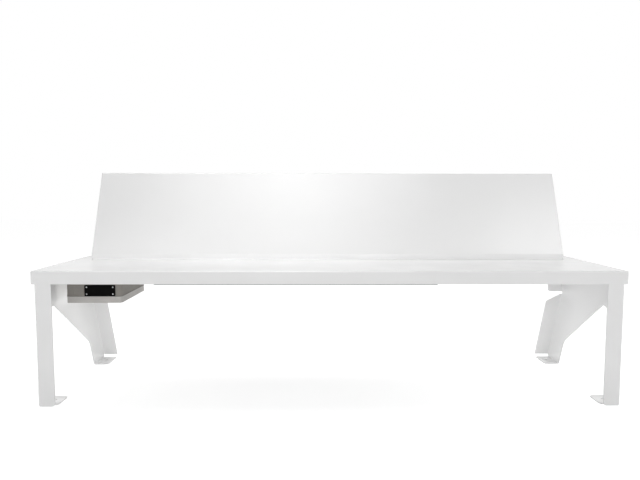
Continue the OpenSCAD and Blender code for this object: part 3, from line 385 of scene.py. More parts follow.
# Rings of a button head: heights and radii as shares of its own
BUTTON = ((0, 0.93), (0.08, 0.99), (0.25, 1.0), (0.45, 0.96), (0.65, 0.87), (0.82, 0.76), (0.94, 0.66),
          (1, 0.58))
# Lean of the backrest, and the direction of the studs on its back
LEAN = math.radians(22)
SLOPE_OUT = Vector((0, -math.cos(LEAN), math.sin(LEAN)))


def thread_wall(radius, depth, turn, taper):
    """Radius of a screw thread at each angle, at a level given in turns."""
    return lambda a: radius - depth * max(abs(2 * ((turn - a / (2 * math.pi)) % 1) - 1), taper)


def thread_rings(radius, z0, z1):
    """Rings of a screw thread from z0 to z1, with chamfered ends."""
    pitch = PITCH[round(2 * radius / MM)] * MM
    depth = THREAD_DEPTH * pitch
    count = max(4, int((z1 - z0) / pitch * THREAD_STEPS))
    rings = []
    for i in range(count + 1):
        z = z0 + (z1 - z0) * i / count
        taper = THREAD_CHAMFER - min(z - z0, z1 - z) / pitch
        rings.append(ring(z, thread_wall(radius, depth, z / pitch, taper), THREAD_SIDES))
    return rings


def add_nut(form, place, corner, height, bore):
    """Hexagonal nut from level 0 to its height, with both faces chamfered."""
    face = corner * 0.85
    cut = (corner - face) * 0.6
    rim = 0.35 * MM
    steps = (0, 0.35, 0.7, 1)
    low = [ring(cut * s, hexagon(corner, face + (corner - face) * s)) for s in steps]
    high = [ring(height - cut * s, hexagon(corner, face + (corner - face) * s)) for s in reversed(steps)]
    hole = [ring(z, r) for z, r in ((height, bore + rim), (height - rim, bore), (rim, bore), (0, bore + rim))]
    form.rings(low + high + hole, place, closed=True)


def add_screw(form, place, thread, head, height, length):
    """Button head above level 0 with a hexagonal socket, and a threaded shank below."""
    socket = head * 0.42
    neck = [ring(-0.2 * MM, thread, THREAD_SIDES)]
    dome = [ring(height * z, head * r, THREAD_SIDES) for z, r in BUTTON]
    walls = ((1, hexagon(socket * 1.06)), (0.93, hexagon(socket)), (0.3, hexagon(socket)),
             (0.2, socket * 0.3))
    well = [ring(height * z, wall, THREAD_SIDES) for z, wall in walls]
    form.rings(thread_rings(thread, -length, -0.4 * MM) + neck + dome + well, place)


def make_nuts(name, axis=UP):
    """Nuts in place of a node's plain ones, sized from their width."""
    form = Form()
    for box in islands(name):
        corner = (box[1] - box[0]).x / 2
        thread = corner / NUT_CORNER
        height = thread * NUT_HEIGHT
        at = middle(box) - axis * height / 2
        add_nut(form, turned(at, axis), corner, height, thread + NUT_PLAY)
    form.piece(name + "_shown", "zinc_steel", replaces=(name,))


def make_studs(name, axis=UP):
    """Threaded studs in place of a node's plain ones, upright or square to the backrest."""
    form = Form()
    for box in islands(name):
        radius = (box[1].x - box[0].x) / 2
        length = box[1].z - box[0].z
        if axis is not UP:
            length = (length - 2 * radius * math.cos(LEAN)) / math.sin(LEAN)
        place = turned(middle(box) - axis * length / 2, axis)
        form.rings(thread_rings(radius, 0, length), place)
    form.piece(name + "_shown", "zinc_steel", replaces=(name,))


def make_screws(name, axis, body="bench"):
    """Button screws whose heads point along axis, sized from the solids' boxes."""
    form = Form()
    for box in islands(name):
        size = box[1] - box[0]
        along = abs(size.dot(axis))
        head = size.x / 2
        thread = head / HEAD_RADIUS
        height = thread * HEAD_HEIGHT
        at = middle(box) + axis * (along / 2 - height)
        add_screw(form, turned(at, axis), thread, head, height, along - height)
    form.piece(name + "_shown", "zinc_steel", body=body, replaces=(name,))


for name in ("frame_nuts", "foot_flange_nuts", "bracket_nuts", "tray_nuts", "hanger_nuts",
             "hanger_screw_nuts"):
    make_nuts(name)
make_nuts("backrest_stud_nuts", SLOPE_OUT)
make_studs("seat_studs")
make_studs("backrest_studs", SLOPE_OUT)
make_screws("foot_flange_screws", UP)
make_screws("bracket_bolts", UP)
make_screws("hanger_screws", DOWN)
make_screws("lid_screws", DOWN, "lid")
make_screws("mounting_rail_screws", DOWN)
make_screws("front_plate_screws", FRONT)


# Glands, leads and grommets. Width over flats and thread radius of the two sizes of gland
LEAD_GLAND = (19 * MM, 7 * MM)
SUPPLY_GLAND = (24 * MM, 9 * MM)
GLAND_SIDES = 72
# Radius of both bends of a lead
BEND = 30 * MM


def make_gland(name, wall, axis, sizes, bore):
    """Cable gland: thread through the wall, hexagon, ribbed cap and dome, with its bore."""
    width, thread = sizes
    corner = width / 2 / math.cos(math.pi / 6)
    neck = width / 2 - 1 * MM
    nose = bore + 2 * MM
    inner = thread - 1.5 * MM
    inside, hex_h, cap_z, dome_z, end = -8 * MM, 5 * MM, 11 * MM, 19 * MM, 26 * MM

    def ribs(a):
        return corner * 0.93 * (1 + 0.022 * math.cos(24 * a))

    def limit(share):
        return hexagon(corner, corner * share)

    levels = []
    for i in range(12):
        groove = 0.5 * MM if i % 2 == 0 else 0
        levels.append((inside + 0.2 * MM + i * 0.65 * MM, thread - groove))
    levels += [(0, limit(0.9)), (0.6 * MM, limit(1)), (hex_h - 0.7 * MM, limit(1)),
               (hex_h - 0.1 * MM, limit(0.88)), (hex_h, neck)]
    for i in range(7):
        groove = 0.45 * MM if i % 2 else 0
        levels.append((hex_h + (0.5 + i * 0.8) * MM, neck - groove))
    levels += [(cap_z, limit(0.9)), (cap_z + 0.7 * MM, limit(1)), (cap_z + 3 * MM, limit(1)),
               (cap_z + 3.6 * MM, ribs), (dome_z - 1 * MM, ribs), (dome_z, neck)]
    for share in (0.2, 0.4, 0.6, 0.8, 0.95):
        bulge = math.sqrt(1 - share * share)
        levels.append((dome_z + (end - dome_z) * share, nose + (neck - nose) * bulge))
    levels += [(end, nose - 0.9 * MM), (end - 0.6 * MM, bore), (hex_h, bore),
               (hex_h - 0.2 * MM, inner), (inside, inner)]
    form = Form()
    form.rings([ring(z, r, GLAND_SIDES) for z, r in levels], turned(wall, axis), closed=True)
    form.piece(name + "_shown", "gland_grey", replaces=(name,))


def make_locknuts():
    """Locknuts of the glands, inside the box."""
    form = Form()
    for box in islands("gland_locknuts"):
        size = box[1] - box[0]
        axis = RIGHT if size.x < size.y else BACK
        height = min(size.x, size.y)
        corner = max(size) / 2
        _, thread = LEAD_GLAND if corner < SUPPLY_GLAND[0] / 2 else SUPPLY_GLAND
        at = middle(box) - axis * height / 2
        add_nut(form, turned(at, axis), corner, height, thread + NUT_PLAY)
    form.piece("gland_locknuts_shown", "gland_grey", replaces=("gland_locknuts",))


def make_lead(name, slot):
    """Round lead along its CAD route: straight, two equal bends, straight."""
    lo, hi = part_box(name)
    radius = (hi.y - lo.y) / 2
    y = (lo.y + hi.y) / 2
    low, high = lo.z + radius, hi.z - radius
    sweep = math.acos(1 - (high - low) / (2 * BEND))
    run = 2 * BEND * math.sin(sweep)
    start = (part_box("heater_gland")[1].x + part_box("tray_grommets")[0].x - run) / 2
    steps, first_steps, last_steps = 14, 30, 20
    points = [(lo.x + (start - lo.x) * i / first_steps, y, low) for i in range(first_steps)]
    for i in range(steps + 1):
        a = sweep * i / steps
        points.append((start + BEND * math.sin(a), y, low + BEND * (1 - math.cos(a))))
    for i in range(steps - 1, -1, -1):
        a = sweep * i / steps
        points.append((start + run - BEND * math.sin(a), y, high - BEND * (1 - math.cos(a))))
    end = points[-1][0]
    points += [(end + (hi.x - end) * i / last_steps, y, high) for i in range(1, last_steps + 1)]
    form = Form()
    form.tube(points, radius, 28)
    form.piece(name + "_shown", slot, replaces=(name,))


def make_grommets():
    """Rubber rings with rounded lips, in the tray's end wall."""
    form = Form()
    half = 0.75 * MM
    for box in islands("tray_grommets"):
        outer = (box[1].y - box[0].y) / 2
        bore = outer - 2.9 * MM
        groove = outer - 1.6 * MM
        length = box[1].x - box[0].x
        at = middle(box) - Vector((length / 2, 0, 0))
        lips = []
        for mid in (half, length - half):
            arc = [-math.pi / 2 + math.pi * k / 6 for k in range(7)]
            lips.append([(mid + half * math.sin(a), outer - half + half * math.cos(a)) for a in arc])
        waist = [(half * 2, groove), (length - half * 2, groove)]
        hole = [(length - 0.1 * MM, bore + 0.3 * MM), (length - 0.5 * MM, bore), (0.5 * MM, bore),
                (0.1 * MM, bore + 0.3 * MM)]
        levels = lips[0] + waist + lips[1] + hole
        form.rings([ring(z, r) for z, r in levels], turned(at, RIGHT), closed=True)
    form.piece("tray_grommets_shown", "black_rubber", replaces=("tray_grommets",))


box_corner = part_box("box_body")[1]
for name, bore in (("heater_gland", 3.6 * MM), ("sensor_gland", 2.6 * MM)):
    at = middle(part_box(name))
    make_gland(name, (box_corner.x, at.y, at.z), RIGHT, LEAD_GLAND, bore)
at = middle(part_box("supply_gland"))
make_gland("supply_gland", (at.x, box_corner.y, at.z), BACK, SUPPLY_GLAND, 5.1 * MM)
make_locknuts()
make_lead("heater_lead", "black_rubber")
make_lead("sensor_lead", "sensor_jacket")
make_grommets()


# Controls of the box. Angle of the toggle's lever from the vertical at rest
TOGGLE_LEAN = math.radians(28)
# Depth below the pivot, half width and half thickness along the lever, in millimetres
LEVER = ((3, 3.9, 2.0), (8, 3.9, 2.0), (13, 3.8, 1.8), (15.5, 3.6, 1.6), (16.7, 3.0, 1.1), (17.0, 2.2, 0.6))
# Height above the face and radius of the dial's rings, in millimetres: skirt, knurled grip and top
DIAL_SKIRT = ((-7.5, 2.8), (-7.2, 3.0), (0.3, 3.0), (0.3, 10.4), (0.6, 11.0), (2.0, 11.0), (2.6, 10.5),
              (3.0, 9.3))
DIAL_GRIP = ((3.3, 8.9), (4.5, 8.8), (8.2, 8.5), (8.9, 8.3))
DIAL_TOP = ((9.3, 7.8), (9.3, 7.0), (8.9, 6.4), (8.9, 1.0))
DIAL_SIDES = 144
# Ticks over the dial's turn, degrees between two, and ticks from one figure to the next
TICKS = 28
TICK_STEP = 10
TICKS_TO_FIGURE = 9


def pivot(joint):
    return Vector(next(j["pos_m"] for j in frame["joints"] if j["name"] == joint))


def make_toggle():
    """Breaker toggle: a drum with a tapered, ribbed lever."""
    place = Matrix.Translation(pivot("breaker_switch")) @ Matrix.Rotation(TOGGLE_LEAN, 4, "Y")
    form = Form()
    drum, half, edge = 6.5 * MM, 4 * MM, 0.5 * MM
    rims = ((-half, drum - edge), (-half + edge, drum), (half - edge, drum), (half, drum - edge))
    form.rings([ring(z, r) for z, r in rims], place @ Matrix.Rotation(math.radians(90), 4, "X"))
    levels = []
    for depth, wide, thick in LEVER:
        w, t, ry = wide * MM, thick * MM, 0.7 * MM
        rx = min(ry, t * 0.6)
        outline = []
        for sx, sy, a0 in CORNERS:
            for k in range(4):
                a = math.radians(a0 + 30 * k)
                x, y = sx * (t - rx) + rx * math.cos(a), sy * (w - ry) + ry * math.sin(a)
                outline.append((x, y, -depth * MM))
        levels.append(outline)
    form.rings(levels, place)
    for k in range(3):
        z = -(10.5 + 1.6 * k) * MM
        form.block((1.7 * MM, -3.0 * MM, z - 0.4 * MM), (2.2 * MM, 3.0 * MM, z + 0.4 * MM), 0.15 * MM, place)
    form.piece("breaker_toggle_shown", "control_black", body="toggle", replaces=("breaker_toggle",))


def make_dial():
    """Thermostat dial: a skirt, a knurled grip and a pale pointer line."""
    lo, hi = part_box("thermostat_dial")
    centre = middle((lo, hi))
    radius = (hi.x - lo.x) / 2
    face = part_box("thermostat")[0].z

    def knurl(base):
        return lambda a: base * (1 + 0.018 * math.cos(36 * a))

    rings = [ring(z * MM, r * MM, DIAL_SIDES) for z, r in DIAL_SKIRT]
    rings += [ring(z * MM, knurl(r * MM), DIAL_SIDES) for z, r in DIAL_GRIP]
    rings += [ring(z * MM, r * MM, DIAL_SIDES) for z, r in DIAL_TOP]
    form = Form()
    form.rings(rings, turned((centre.x, centre.y, face), DOWN))
    form.piece("thermostat_dial_shown", "control_black", body="dial", replaces=("thermostat_dial",))
    mark = Form()
    spot = Matrix.Translation((centre.x, centre.y, face))
    mark.block((-0.6 * MM, 4.0 * MM, -9.8 * MM), (0.6 * MM, 8.0 * MM, -8.8 * MM), 0.15 * MM, spot)
    mark.block((-0.6 * MM, 9.0 * MM, -2.9 * MM), (0.6 * MM, 10.9 * MM, -1.9 * MM), 0.15 * MM, spot)
    mark.piece("dial_pointer", "module_grey", body="dial")
    return centre, face, radius


def add_text(words, at, size, slot, name):
    """Raised figures on a face that looks down, read from below with the front at the top."""
    data = bpy.data.curves.new(name, "FONT")
    data.body = words
    data.size = size
    data.extrude = 0.12 * MM
    data.align_x, data.align_y = "CENTER", "CENTER"
    text = bpy.data.objects.new(name, data)
    bpy.context.scene.collection.objects.link(text)
    text.matrix_world = Matrix.Translation(at) @ Matrix.Rotation(math.pi, 4, "X")
    bpy.context.view_layer.update()
    mesh = bpy.data.meshes.new_from_object(text)
    mesh.transform(text.matrix_world)
    bpy.data.objects.remove(text)
    add_piece(name, mesh, slot)


def make_scale(centre, face, radius):
    """Ticks and figures round the dial, over its turn."""
    form = Form()
    start = radius + 0.8 * MM
    for i in range(TICKS):
        a = math.radians(90 - TICK_STEP * i)
        long = i % TICKS_TO_FIGURE == 0
        wide = 0.3 * MM if long else 0.15 * MM
        end = radius + (3.0 if long else 2.0) * MM
        place = Matrix.Translation((centre.x, centre.y, face)) @ Matrix.Rotation(a, 4, "Z")
        form.block((start, -wide, -0.2 * MM), (end, wide, 0.1 * MM), 0.04 * MM, place)
    form.piece("dial_scale", "control_black")
    far = radius + 5.2 * MM
    for i, words in enumerate(("0", "10", "20", "30")):
        a = math.radians(90 - TICK_STEP * TICKS_TO_FIGURE * i)
        at = (centre.x + far * math.cos(a), centre.y + far * math.sin(a), face)
        add_text(words, at, 3.4 * MM, "control_black", f"dial_figure_{words}")


# Modules of the box. Height of a housing's shoulders over its face, and their terminals
SHOULDER_UP = 18 * MM
TERMINAL_X = 34 * MM
TERMINAL_R = 3.4 * MM
# Half widths of a housing over its shoulders and over its face
SHOULDER_X = 43 * MM
FACE_X = 22.3 * MM
# Ways of the terminal block
BLOCK_WAYS = 10


def screw_head(form, at, radius, spin):
    """Domed head with a driving slot, seen from below."""
    place = turned(at, DOWN, spin)
    levels = ((0, radius), (0.5 * MM, radius), (0.8 * MM, radius * 0.9), (0.95 * MM, radius * 0.6))
    form.rings([ring(z, r, 24) for z, r in levels], place)
    form.bar(0, 0, (0.85 * MM, 1.05 * MM), radius * 0.85, 0.25 * MM, 0.05 * MM, place)


def dress_housing(name, ways, mouldings, screws, hollow_shade):
    """Terminals on both shoulders of a module, a black bar beside each as painted shade of its slot, and the seams
    of its face.
    """
    lo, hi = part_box(name)
    mid = (lo.x + hi.x) / 2
    z = lo.z + SHOULDER_UP
    pitch = (hi.y - lo.y) / ways
    rim = ((0, TERMINAL_R + 0.9 * MM), (1.0 * MM, TERMINAL_R + 0.7 * MM), (1.0 * MM, TERMINAL_R),
           (0, TERMINAL_R))
    for side in (-1, 1):
        x = mid + side * TERMINAL_X
        edge = mid + side * SHOULDER_X - side * 0.1 * MM
        for k in range(ways):
            y = lo.y + pitch * (k + 0.5)
            mouldings.rings([ring(h, r) for h, r in rim], turned((x, y, z), DOWN), closed=True)
            screw_head(screws, (x, y, z), 2.9 * MM, 0.6 * k + side)
            # Black bar of painted shade for the slot beside the terminal
            hollow_shade.bar(edge, y, (z + 8 * MM, z + 14 * MM), 0.2 * MM, 3 * MM, 0.05 * MM)
    for y in (lo.y + 0.25 * MM, hi.y - 0.25 * MM):
        mouldings.bar(mid, y, (lo.z - 0.35 * MM, lo.z + 0.2 * MM), FACE_X, 0.25 * MM, 0.1 * MM)


def dress_supply(mouldings, hollow_shade):
    """Vents as black bars of painted shade, and a lamp, on the face of the power supply."""
    lo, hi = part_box("power_supply")
    mid = (lo.x + hi.x) / 2
    for k in range(13):
        y = lo.y + 9 * MM + k * 4.2 * MM
        # Vent as a black bar of painted shade
        hollow_shade.bar(mid - 2 * MM, y, (lo.z - 0.15 * MM, lo.z + 0.2 * MM), 13 * MM, 0.7 * MM, 0.1 * MM)
    lamp = ((0, 1.7 * MM), (0.6 * MM, 1.6 * MM), (1.0 * MM, 1.2 * MM), (1.15 * MM, 0.6 * MM))
    mouldings.rings([ring(z, r) for z, r in lamp], turned((mid + 17 * MM, lo.y + 10 * MM, lo.z), DOWN))


def dress_breaker(mouldings):
    """Ridges on both sides of the breaker's toggle."""
    lo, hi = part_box("circuit_breaker")
    mid = middle((lo, hi))
    half = (hi.y - lo.y) / 2 - 3.5 * MM
    for side in (-1, 1):
        stretch = (lo.z - 0.5 * MM, lo.z + 0.2 * MM)
        mouldings.bar(mid.x + side * 12 * MM, mid.y, stretch, 0.4 * MM, half, 0.1 * MM)


def dress_terminals(ribs, screws, hollow_shade):
    """Walls, bridges and screws of the terminal block, and its slots as black bars of painted shade."""
    lo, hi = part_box("terminal_block")
    mid = (lo.x + hi.x) / 2
    pitch = (hi.y - lo.y) / BLOCK_WAYS
    half = (hi.x - lo.x) / 2 - 0.2 * MM
    for k in range(BLOCK_WAYS + 1):
        y = min(max(lo.y + pitch * k, lo.y + 0.4 * MM), hi.y - 0.4 * MM)
        ribs.bar(mid, y, (lo.z - 1.2 * MM, lo.z + 0.3 * MM), half, 0.4 * MM, 0.2 * MM)
    for k in range(BLOCK_WAYS):
        y = lo.y + pitch * (k + 0.5)
        ribs.bar(mid, y, (lo.z - 0.8 * MM, lo.z + 0.2 * MM), 15 * MM, 2.3 * MM, 0.3 * MM)
        for side in (-1, 1):
            screw_head(screws, (mid + side * 22 * MM, y, lo.z + 3 * MM), 1.85 * MM, 0.5 * k + side)
            # Black bar of painted shade for the slot of this way
            stretch = (lo.z + 12 * MM, lo.z + 16 * MM)
            hollow_shade.bar(mid + side * 30 * MM, y, stretch, 0.15 * MM, 1.8 * MM, 0.05 * MM)


def dress_modules():
    """Visible details of the four modules, as one piece for each material."""
    mouldings, screws, hollow_shade, ribs = Form(), Form(), Form(), Form()
    for name, ways in (("circuit_breaker", 1), ("thermostat", 3), ("power_supply", 5)):
        dress_housing(name, ways, mouldings, screws, hollow_shade)
    dress_supply(mouldings, hollow_shade)
    dress_breaker(mouldings)
    dress_terminals(ribs, screws, hollow_shade)
    mouldings.piece("module_mouldings", "module_grey")
    screws.piece("terminal_screws", "zinc_steel")
    # Black bars of painted shade where the slots and vents are
    hollow_shade.piece("module_slots_painted_shade", "control_black")
    ribs.piece("terminal_ribs", "terminal_grey")


make_toggle()
make_scale(*make_dial())
dress_modules()


# Mouldings of the control box and its lid. Corner radius of both
BOX_CORNER = 9 * MM
# Section of the seal's black lip in the seam, partly the seal and partly painted shade of the seam: out from the
# wall and up from the lid, in millimetres
SEAL_LIP_AND_SEAM_SHADE = ((0.05, 1.35), (0.7, 1.35), (0.95, 1.6), (0.95, 2.0), (0.7, 2.25), (0.05, 2.25))


def rounded_path(x0, y0, x1, y1, r, steps=8):
    """Points round a rectangle with round corners, each with its outward direction."""
    path = []
    for sx, sy, a0 in CORNERS:
        cx = x1 - r if sx > 0 else x0 + r
        cy = y1 - r if sy > 0 else y0 + r
        for k in range(steps + 1):
            a = math.radians(a0 + 90 * k / steps)
            out = (math.cos(a), math.sin(a))
            path.append(((cx + r * out[0], cy + r * out[1]), out))
    return path


def band(form, path, section, place=HERE):
    """Sweeps a closed section, as (outward, up) pairs, round a closed path."""
    rings = [[(x + nx * o, y + ny * o, z) for o, z in section] for (x, y), (nx, ny) in path]
    form.rings(rings, place, closed=True)


def round_moulding(width, height, low):
    """Section of a rounded rib that stands out by width, over a height from low."""
    root = -0.5 * MM
    section = [(root, low), (root, low + height)]
    for k in range(7):
        a = math.pi / 2 - math.pi * k / 6
        out = width * math.cos(a) ** 0.6 if math.cos(a) > 1e-6 else 0
        section.append((out, low + height / 2 + height / 2 * math.sin(a)))
    return section


def flat_moulding(width, height):
    """Section of a raised line on a face: width along the face, height out of it."""
    half, root = width / 2, -0.3 * MM
    return [(-half, root), (-half, height * 0.6), (-half * 0.6, height), (half * 0.6, height),
            (half, height * 0.6), (half, root)]


def dress_body():
    """Rib along the lower edge of the box, and a raised frame on its front."""
    lo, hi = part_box("box_body")
    form = Form()
    path = rounded_path(lo.x, lo.y, hi.x, hi.y, BOX_CORNER)
    band(form, path, round_moulding(1.0 * MM, 3.2 * MM, lo.z + 2.4 * MM))
    upright = Matrix.Translation((0, lo.y, 0)) @ Matrix.Rotation(math.radians(90), 4, "X")
    frame_path = rounded_path(lo.x + 24 * MM, lo.z + 8 * MM, lo.x + 61 * MM, lo.z + 46 * MM, 2 * MM, 4)
    band(form, frame_path, flat_moulding(1.1 * MM, 0.9 * MM), upright)
    form.piece("box_mouldings", "box_grey")


def dress_lid():
    """Ribs along both edges of the lid, a raised frame below it, and the black lip of its seal, which is partly
    painted shade of the seam.
    """
    lo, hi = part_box("box_lid")
    form = Form()
    path = rounded_path(lo.x, lo.y, hi.x, hi.y, BOX_CORNER)
    band(form, path, round_moulding(1.0 * MM, 3.0 * MM, hi.z - 1.7 * MM))
    band(form, path, round_moulding(0.7 * MM, 2.2 * MM, lo.z + 1.2 * MM))
    below = Matrix.Translation((0, 0, lo.z)) @ Matrix.Rotation(math.pi, 4, "X")
    inset = 24 * MM
    inner = rounded_path(lo.x + inset, -hi.y + inset, hi.x - inset, -lo.y - inset, 8 * MM)
    band(form, inner, flat_moulding(1.4 * MM, 0.7 * MM), below)
    form.piece("lid_mouldings", "lid_grey", body="lid")
    # Black band in the seam: partly the seal's lip, partly painted shade of the seam
    form = Form()
    band(form, path, [(out * MM, hi.z + up * MM) for out, up in SEAL_LIP_AND_SEAM_SHADE])
    form.piece("lid_seal_lip_and_seam_shade", "black_rubber", body="lid")


dress_body()
dress_lid()


# Weld beads under the coat, and the length of one of their ripples
BEAD_R = 2.0 * MM
BEAD_RIPPLE = 2.2 * MM
# Beads along each edge of a rail: their number, length and distance from its ends
RAIL_BEADS = 11
RAIL_BEAD_L = 40 * MM
RAIL_BEAD_IN = 30 * MM
# Height of the strip between the seat and the leaning part of the backrest
UPSTAND = 22 * MM
# Backrest sheet and bracket flange together
SHEET_AND_FLANGE = 6 * MM
# Section of the sealant along the foot of the backrest: back and up from it, in millimetres
FOOT_SEAL = ((0, 4.4), (-0.35, 2.6), (-0.9, 1.2), (-2.0, 0.05), (0.5, 0.02), (3.5, 0.05), (1.4, 1.3),
             (0.2, 3.2))


def bead(form, start, end, radius=BEAD_R):
    """Weld bead with its ripples, tapered at both ends."""
    start, end = Vector(start), Vector(end)
    length = (end - start).length
    count = int(length / (BEAD_RIPPLE / 4))
    points = [start.lerp(end, i / count) for i in range(count + 1)]

    def size(i):
        s = i / count * length
        taper = min(1, min(s, length - s) / (radius * 1.4) + 0.25)
        ripple = 0.13 * math.sin(2 * math.pi * s / BEAD_RIPPLE)
        drift = 0.05 * math.sin(s / (7.3 * MM))
        return radius * taper * (1 + ripple + drift)

    form.tube(points, size, 14)


def weld_rail(form, name):
    """Rows of short beads where both edges of a rail meet the seat."""
    lo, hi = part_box(name)
    z = hi.z - 1.2 * MM
    room = hi.x - lo.x - 2 * RAIL_BEAD_IN - RAIL_BEAD_L
    for y in (lo.y + 1.4 * MM, hi.y - 1.4 * MM):
        for i in range(RAIL_BEADS):
            x = lo.x + RAIL_BEAD_IN + room * i / (RAIL_BEADS - 1)
            bead(form, (x, y, z), (x + RAIL_BEAD_L, y, z), 2.2 * MM)


def weld_bracket(form, name):
    """Beads between a bracket's web and its two flanges."""
    lo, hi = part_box(name)
    lean_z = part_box("seat_panel")[1].z + UPSTAND
    foot_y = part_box("backrest_panel")[0].y

    def behind(z):
        flange = foot_y + (z - lean_z) * math.tan(LEAN) + SHEET_AND_FLANGE / math.cos(LEAN)
        return flange + 0.6 * MM

    low = lo.z + 4.5 * MM
    z0, z1 = lo.z + 52 * MM, hi.z - 8 * MM
    for side in (-1, 1):
        x = (lo.x + hi.x) / 2 + side * 2.6 * MM
        bead(form, (x, lo.y + 4 * MM, low), (x, hi.y - 3 * MM, low))
        bead(form, (x, behind(z0), z0), (x, behind(z1), z1))


def make_welds():
    form = Form()
    for name in ("front_seat_rail", "rear_seat_rail"):
        weld_rail(form, name)
    for name in ("backrest_bracket_left", "backrest_bracket_middle", "backrest_bracket_right"):
        weld_bracket(form, name)
    form.piece("weld_beads", "white_coat")


def make_foot_seal():
    """Sealant along the foot of the backrest, since the photograph shows no gap there."""
    lo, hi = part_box("backrest_panel")
    form = Form()
    steps, side_in = 60, 4 * MM
    rings = []
    for i in range(steps + 1):
        x = lo.x + side_in + (hi.x - lo.x - 2 * side_in) * i / steps
        end = 0.6 if i in (0, steps) else 1.0
        rings.append([(x, lo.y + y * end * MM, lo.z + z * end * MM) for y, z in FOOT_SEAL])
    form.rings(rings)
    form.piece("backrest_foot_seal", "white_coat")


make_welds()
make_foot_seal()


# World and floor. Strength of the world's light below and above a band over the horizon
WORLD_LOW = 0.90
WORLD_HIGH = 0.33
BAND_LOW, BAND_HIGH = 0.15, 0.55
FLOOR_LIFT = 0.62
FLOOR_TONE = 0.92
FLOOR_SIZE = 30.0
WHITE = (1, 1, 1, 1)


def seen_directly(tree):
    """1 for camera, glossy and transmission rays, 0 for the rest."""
    path = tree.nodes.new("ShaderNodeLightPath")
    total = path.outputs["Is Camera Ray"]
    for other in ("Is Glossy Ray", "Is Transmission Ray"):
        add = tree.nodes.new("ShaderNodeMath")
        add.operation = "MAXIMUM"
        tree.links.new(total, add.inputs[0])
        tree.links.new(path.outputs[other], add.inputs[1])
        total = add.outputs[0]
    return total


def add_world():
    """White where it is seen, and a soft light that fades towards the zenith elsewhere."""
    world = bpy.data.worlds.new("world")
    world.use_nodes = True
    bpy.context.scene.world = world
    tree = world.node_tree
    back = tree.nodes["Background"]
    back.inputs["Color"].default_value = WHITE
    split = tree.nodes.new("ShaderNodeSeparateXYZ")
    coord = tree.nodes.new("ShaderNodeTexCoord")
    tree.links.new(coord.outputs["Generated"], split.inputs["Vector"])
    fill = tree.nodes.new("ShaderNodeMapRange")
    ends = zip(("From Min", "From Max", "To Min", "To Max"), (BAND_LOW, BAND_HIGH, WORLD_LOW, WORLD_HIGH))
    for key, value in ends:
        fill.inputs[key].default_value = value
    tree.links.new(split.outputs["Z"], fill.inputs["Value"])
    level = tree.nodes.new("ShaderNodeMapRange")
    level.inputs["To Max"].default_value = 1.0
    tree.links.new(fill.outputs["Result"], level.inputs["To Min"])
    tree.links.new(seen_directly(tree), level.inputs["Value"])
    tree.links.new(level.outputs["Result"], back.inputs["Strength"])


def add_floor():
    """Matt pale floor, lifted to white where it is seen, that keeps the bench's shadow."""
    mesh = bpy.data.meshes.new("floor")
    h = FLOOR_SIZE / 2
    mesh.from_pydata([(-h, -h, 0), (h, -h, 0), (h, h, 0), (-h, h, 0)], [], [(0, 1, 2, 3)])
    floor = bpy.data.objects.new("floor", mesh)
    bpy.context.scene.collection.objects.link(floor)
    mat = bpy.data.materials.new("floor")
    mat.use_nodes = True
    tree = mat.node_tree
    bsdf = tree.nodes["Principled BSDF"]
    bsdf.inputs["Base Color"].default_value = (FLOOR_TONE, FLOOR_TONE, FLOOR_TONE, 1)
    bsdf.inputs["Roughness"].default_value = 0.9
    bsdf.inputs["Specular IOR Level"].default_value = 0.0
    bsdf.inputs["Emission Color"].default_value = WHITE
    lift = tree.nodes.new("ShaderNodeMath")
    lift.operation = "MULTIPLY"
    lift.inputs[1].default_value = FLOOR_LIFT
    tree.links.new(seen_directly(tree), lift.inputs[0])
    tree.links.new(lift.outputs[0], bsdf.inputs["Emission Strength"])
    mesh.materials.append(mat)


# Lamps. Width and radiance of nested softboxes for the upper and the lower part of the backrest
UPPER_GLOW = ((4.2, 3.2), (2.6, 4.8), (1.3, 8.6))
LOWER_GLOW = ((3.6, 1.0), (2.1, 2.8), (1.0, 3.4))
# Plane of the softboxes in front of the bench
FRONT_Y = -4.6


def add_lamp(name, at, towards, w, h, radiance, diffuse=True, glossy=True):
    """A rectangular softbox whose face shines at the given radiance."""
    data = bpy.data.lights.new(name, "AREA")
    data.shape = "RECTANGLE"
    data.size, data.size_y = w, h
    data.energy = math.pi * w * h * radiance
    lamp = bpy.data.objects.new(name, data)
    lamp.location = at
    lamp.rotation_euler = (Vector(towards) - Vector(at)).to_track_quat("-Z", "Y").to_euler()
    lamp.visible_camera = False
    lamp.visible_diffuse = diffuse
    lamp.visible_glossy = glossy
    bpy.context.scene.collection.objects.link(lamp)


def add_front_glow(name, x, z, w, h, radiance, y=FRONT_Y):
    """Softbox in front of the bench that shines on the gloss alone."""
    add_lamp(name, (x, y, z), (x, 0, z), w, h, radiance, diffuse=False)


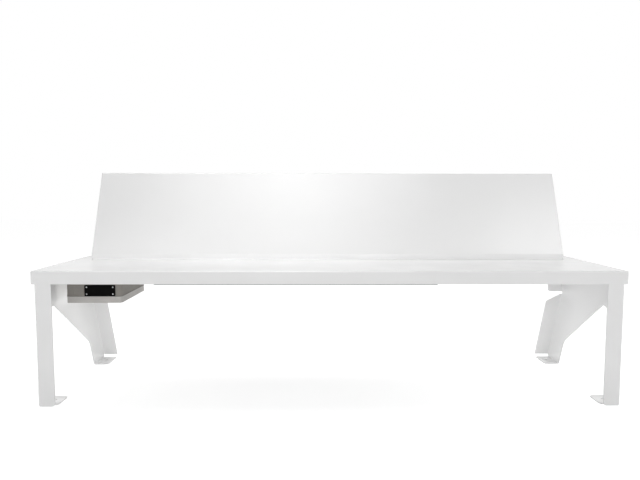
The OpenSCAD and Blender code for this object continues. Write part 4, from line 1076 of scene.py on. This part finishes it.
def add_front_lamps():
    """Bright bands of the backrest, of the bend at its foot and of the corner with the seat."""
    for i, ((upper_w, upper), (lower_w, lower)) in enumerate(zip(UPPER_GLOW, LOWER_GLOW)):
        add_front_glow(f"upper_{i}", -0.46, 6.2, upper_w, 2.6, upper)
        add_front_glow(f"lower_{i}", -1.0, 3.5, lower_w, 2.8, lower)
    add_front_glow("bend_left", -1.8, 2.1, 1.7, 1.4, 11.0)
    add_front_glow("bend_mid", -0.15, 2.1, 1.4, 1.4, 9.0)
    add_front_glow("corner_wide", 0, 0.95, 6.4, 0.9, 1.5)
    add_front_glow("corner_glow", -0.36, 0.95, 2.4, 0.9, 9.5, y=FRONT_Y + 0.01)
    add_lamp("right_box", (2.65, -3.2, 2.85), (0.85, 0, 0.6), 1.2, 1.6, 3.8, diffuse=False)


def add_low_fills():
    """Soft light for the front, the legs and the underside, which leaves the gloss alone."""
    add_lamp("front_low", (0, -3.6, 0.42), (0, 0, 0.3), 4.6, 0.8, 1.52, glossy=False)
    add_lamp("left_low", (-4.0, -1.7, 0.5), (0.8, 0.1, 0.25), 2.6, 0.9, 1.42, glossy=False)
    add_lamp("right_low", (4.0, -1.7, 0.5), (-0.8, 0.1, 0.25), 2.6, 0.9, 1.7, glossy=False)
    add_lamp("under_fill", (0, 0.02, 0.012), (0, 0.02, 1), 1.7, 0.42, 0.15, glossy=False)


def add_top_lamps():
    """Light from above, and the glow on the front fold and on the seat before the backrest."""
    add_lamp("top_box", (0, 0.8, 3.6), (0, 0, 0.4), 3.4, 2.2, 2.2)
    add_lamp("top_glow", (-0.35, 0.8, 3.5), (-0.15, 0, 0.4), 1.3, 1.2, 0.95, glossy=False)
    add_lamp("fold_glow", (-1.25, -0.6, 3.5), (-1.25, -0.6, 0), 2.6, 1.0, 7.5, diffuse=False)
    add_lamp("foot_glow", (-0.4, -0.9, 3.6), (-0.4, -0.9, 0), 1.6, 1.0, 7.0, diffuse=False)


def add_small_fills():
    """Fills for the front foot tabs, the end frames' inner sides and the slot beside the box."""
    for side in (-1, 1):
        x = side * 0.945
        add_lamp(f"tab_fill_{side}", (x, -0.24, 0.035), (x, -0.24, 0), 0.05, 0.06, 0.75, glossy=False)
        x, radiance = side * 0.75, 0.31 - side * 0.03
        add_lamp(f"web_fill_{side}", (x, 0.03, 0.16), (2 * x, 0.03, 0.16), 0.36, 0.26, radiance, glossy=False)
    lo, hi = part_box("box_body")
    at = (lo.x - 0.003, lo.y + 0.09, hi.z - 0.083)
    add_lamp("slot_fill", at, (at[0] - 1, at[1], at[2]), 0.18, 0.085, 0.6, glossy=False)


add_world()
add_floor()
add_front_lamps()
add_low_fills()
add_top_lamps()
add_small_fills()
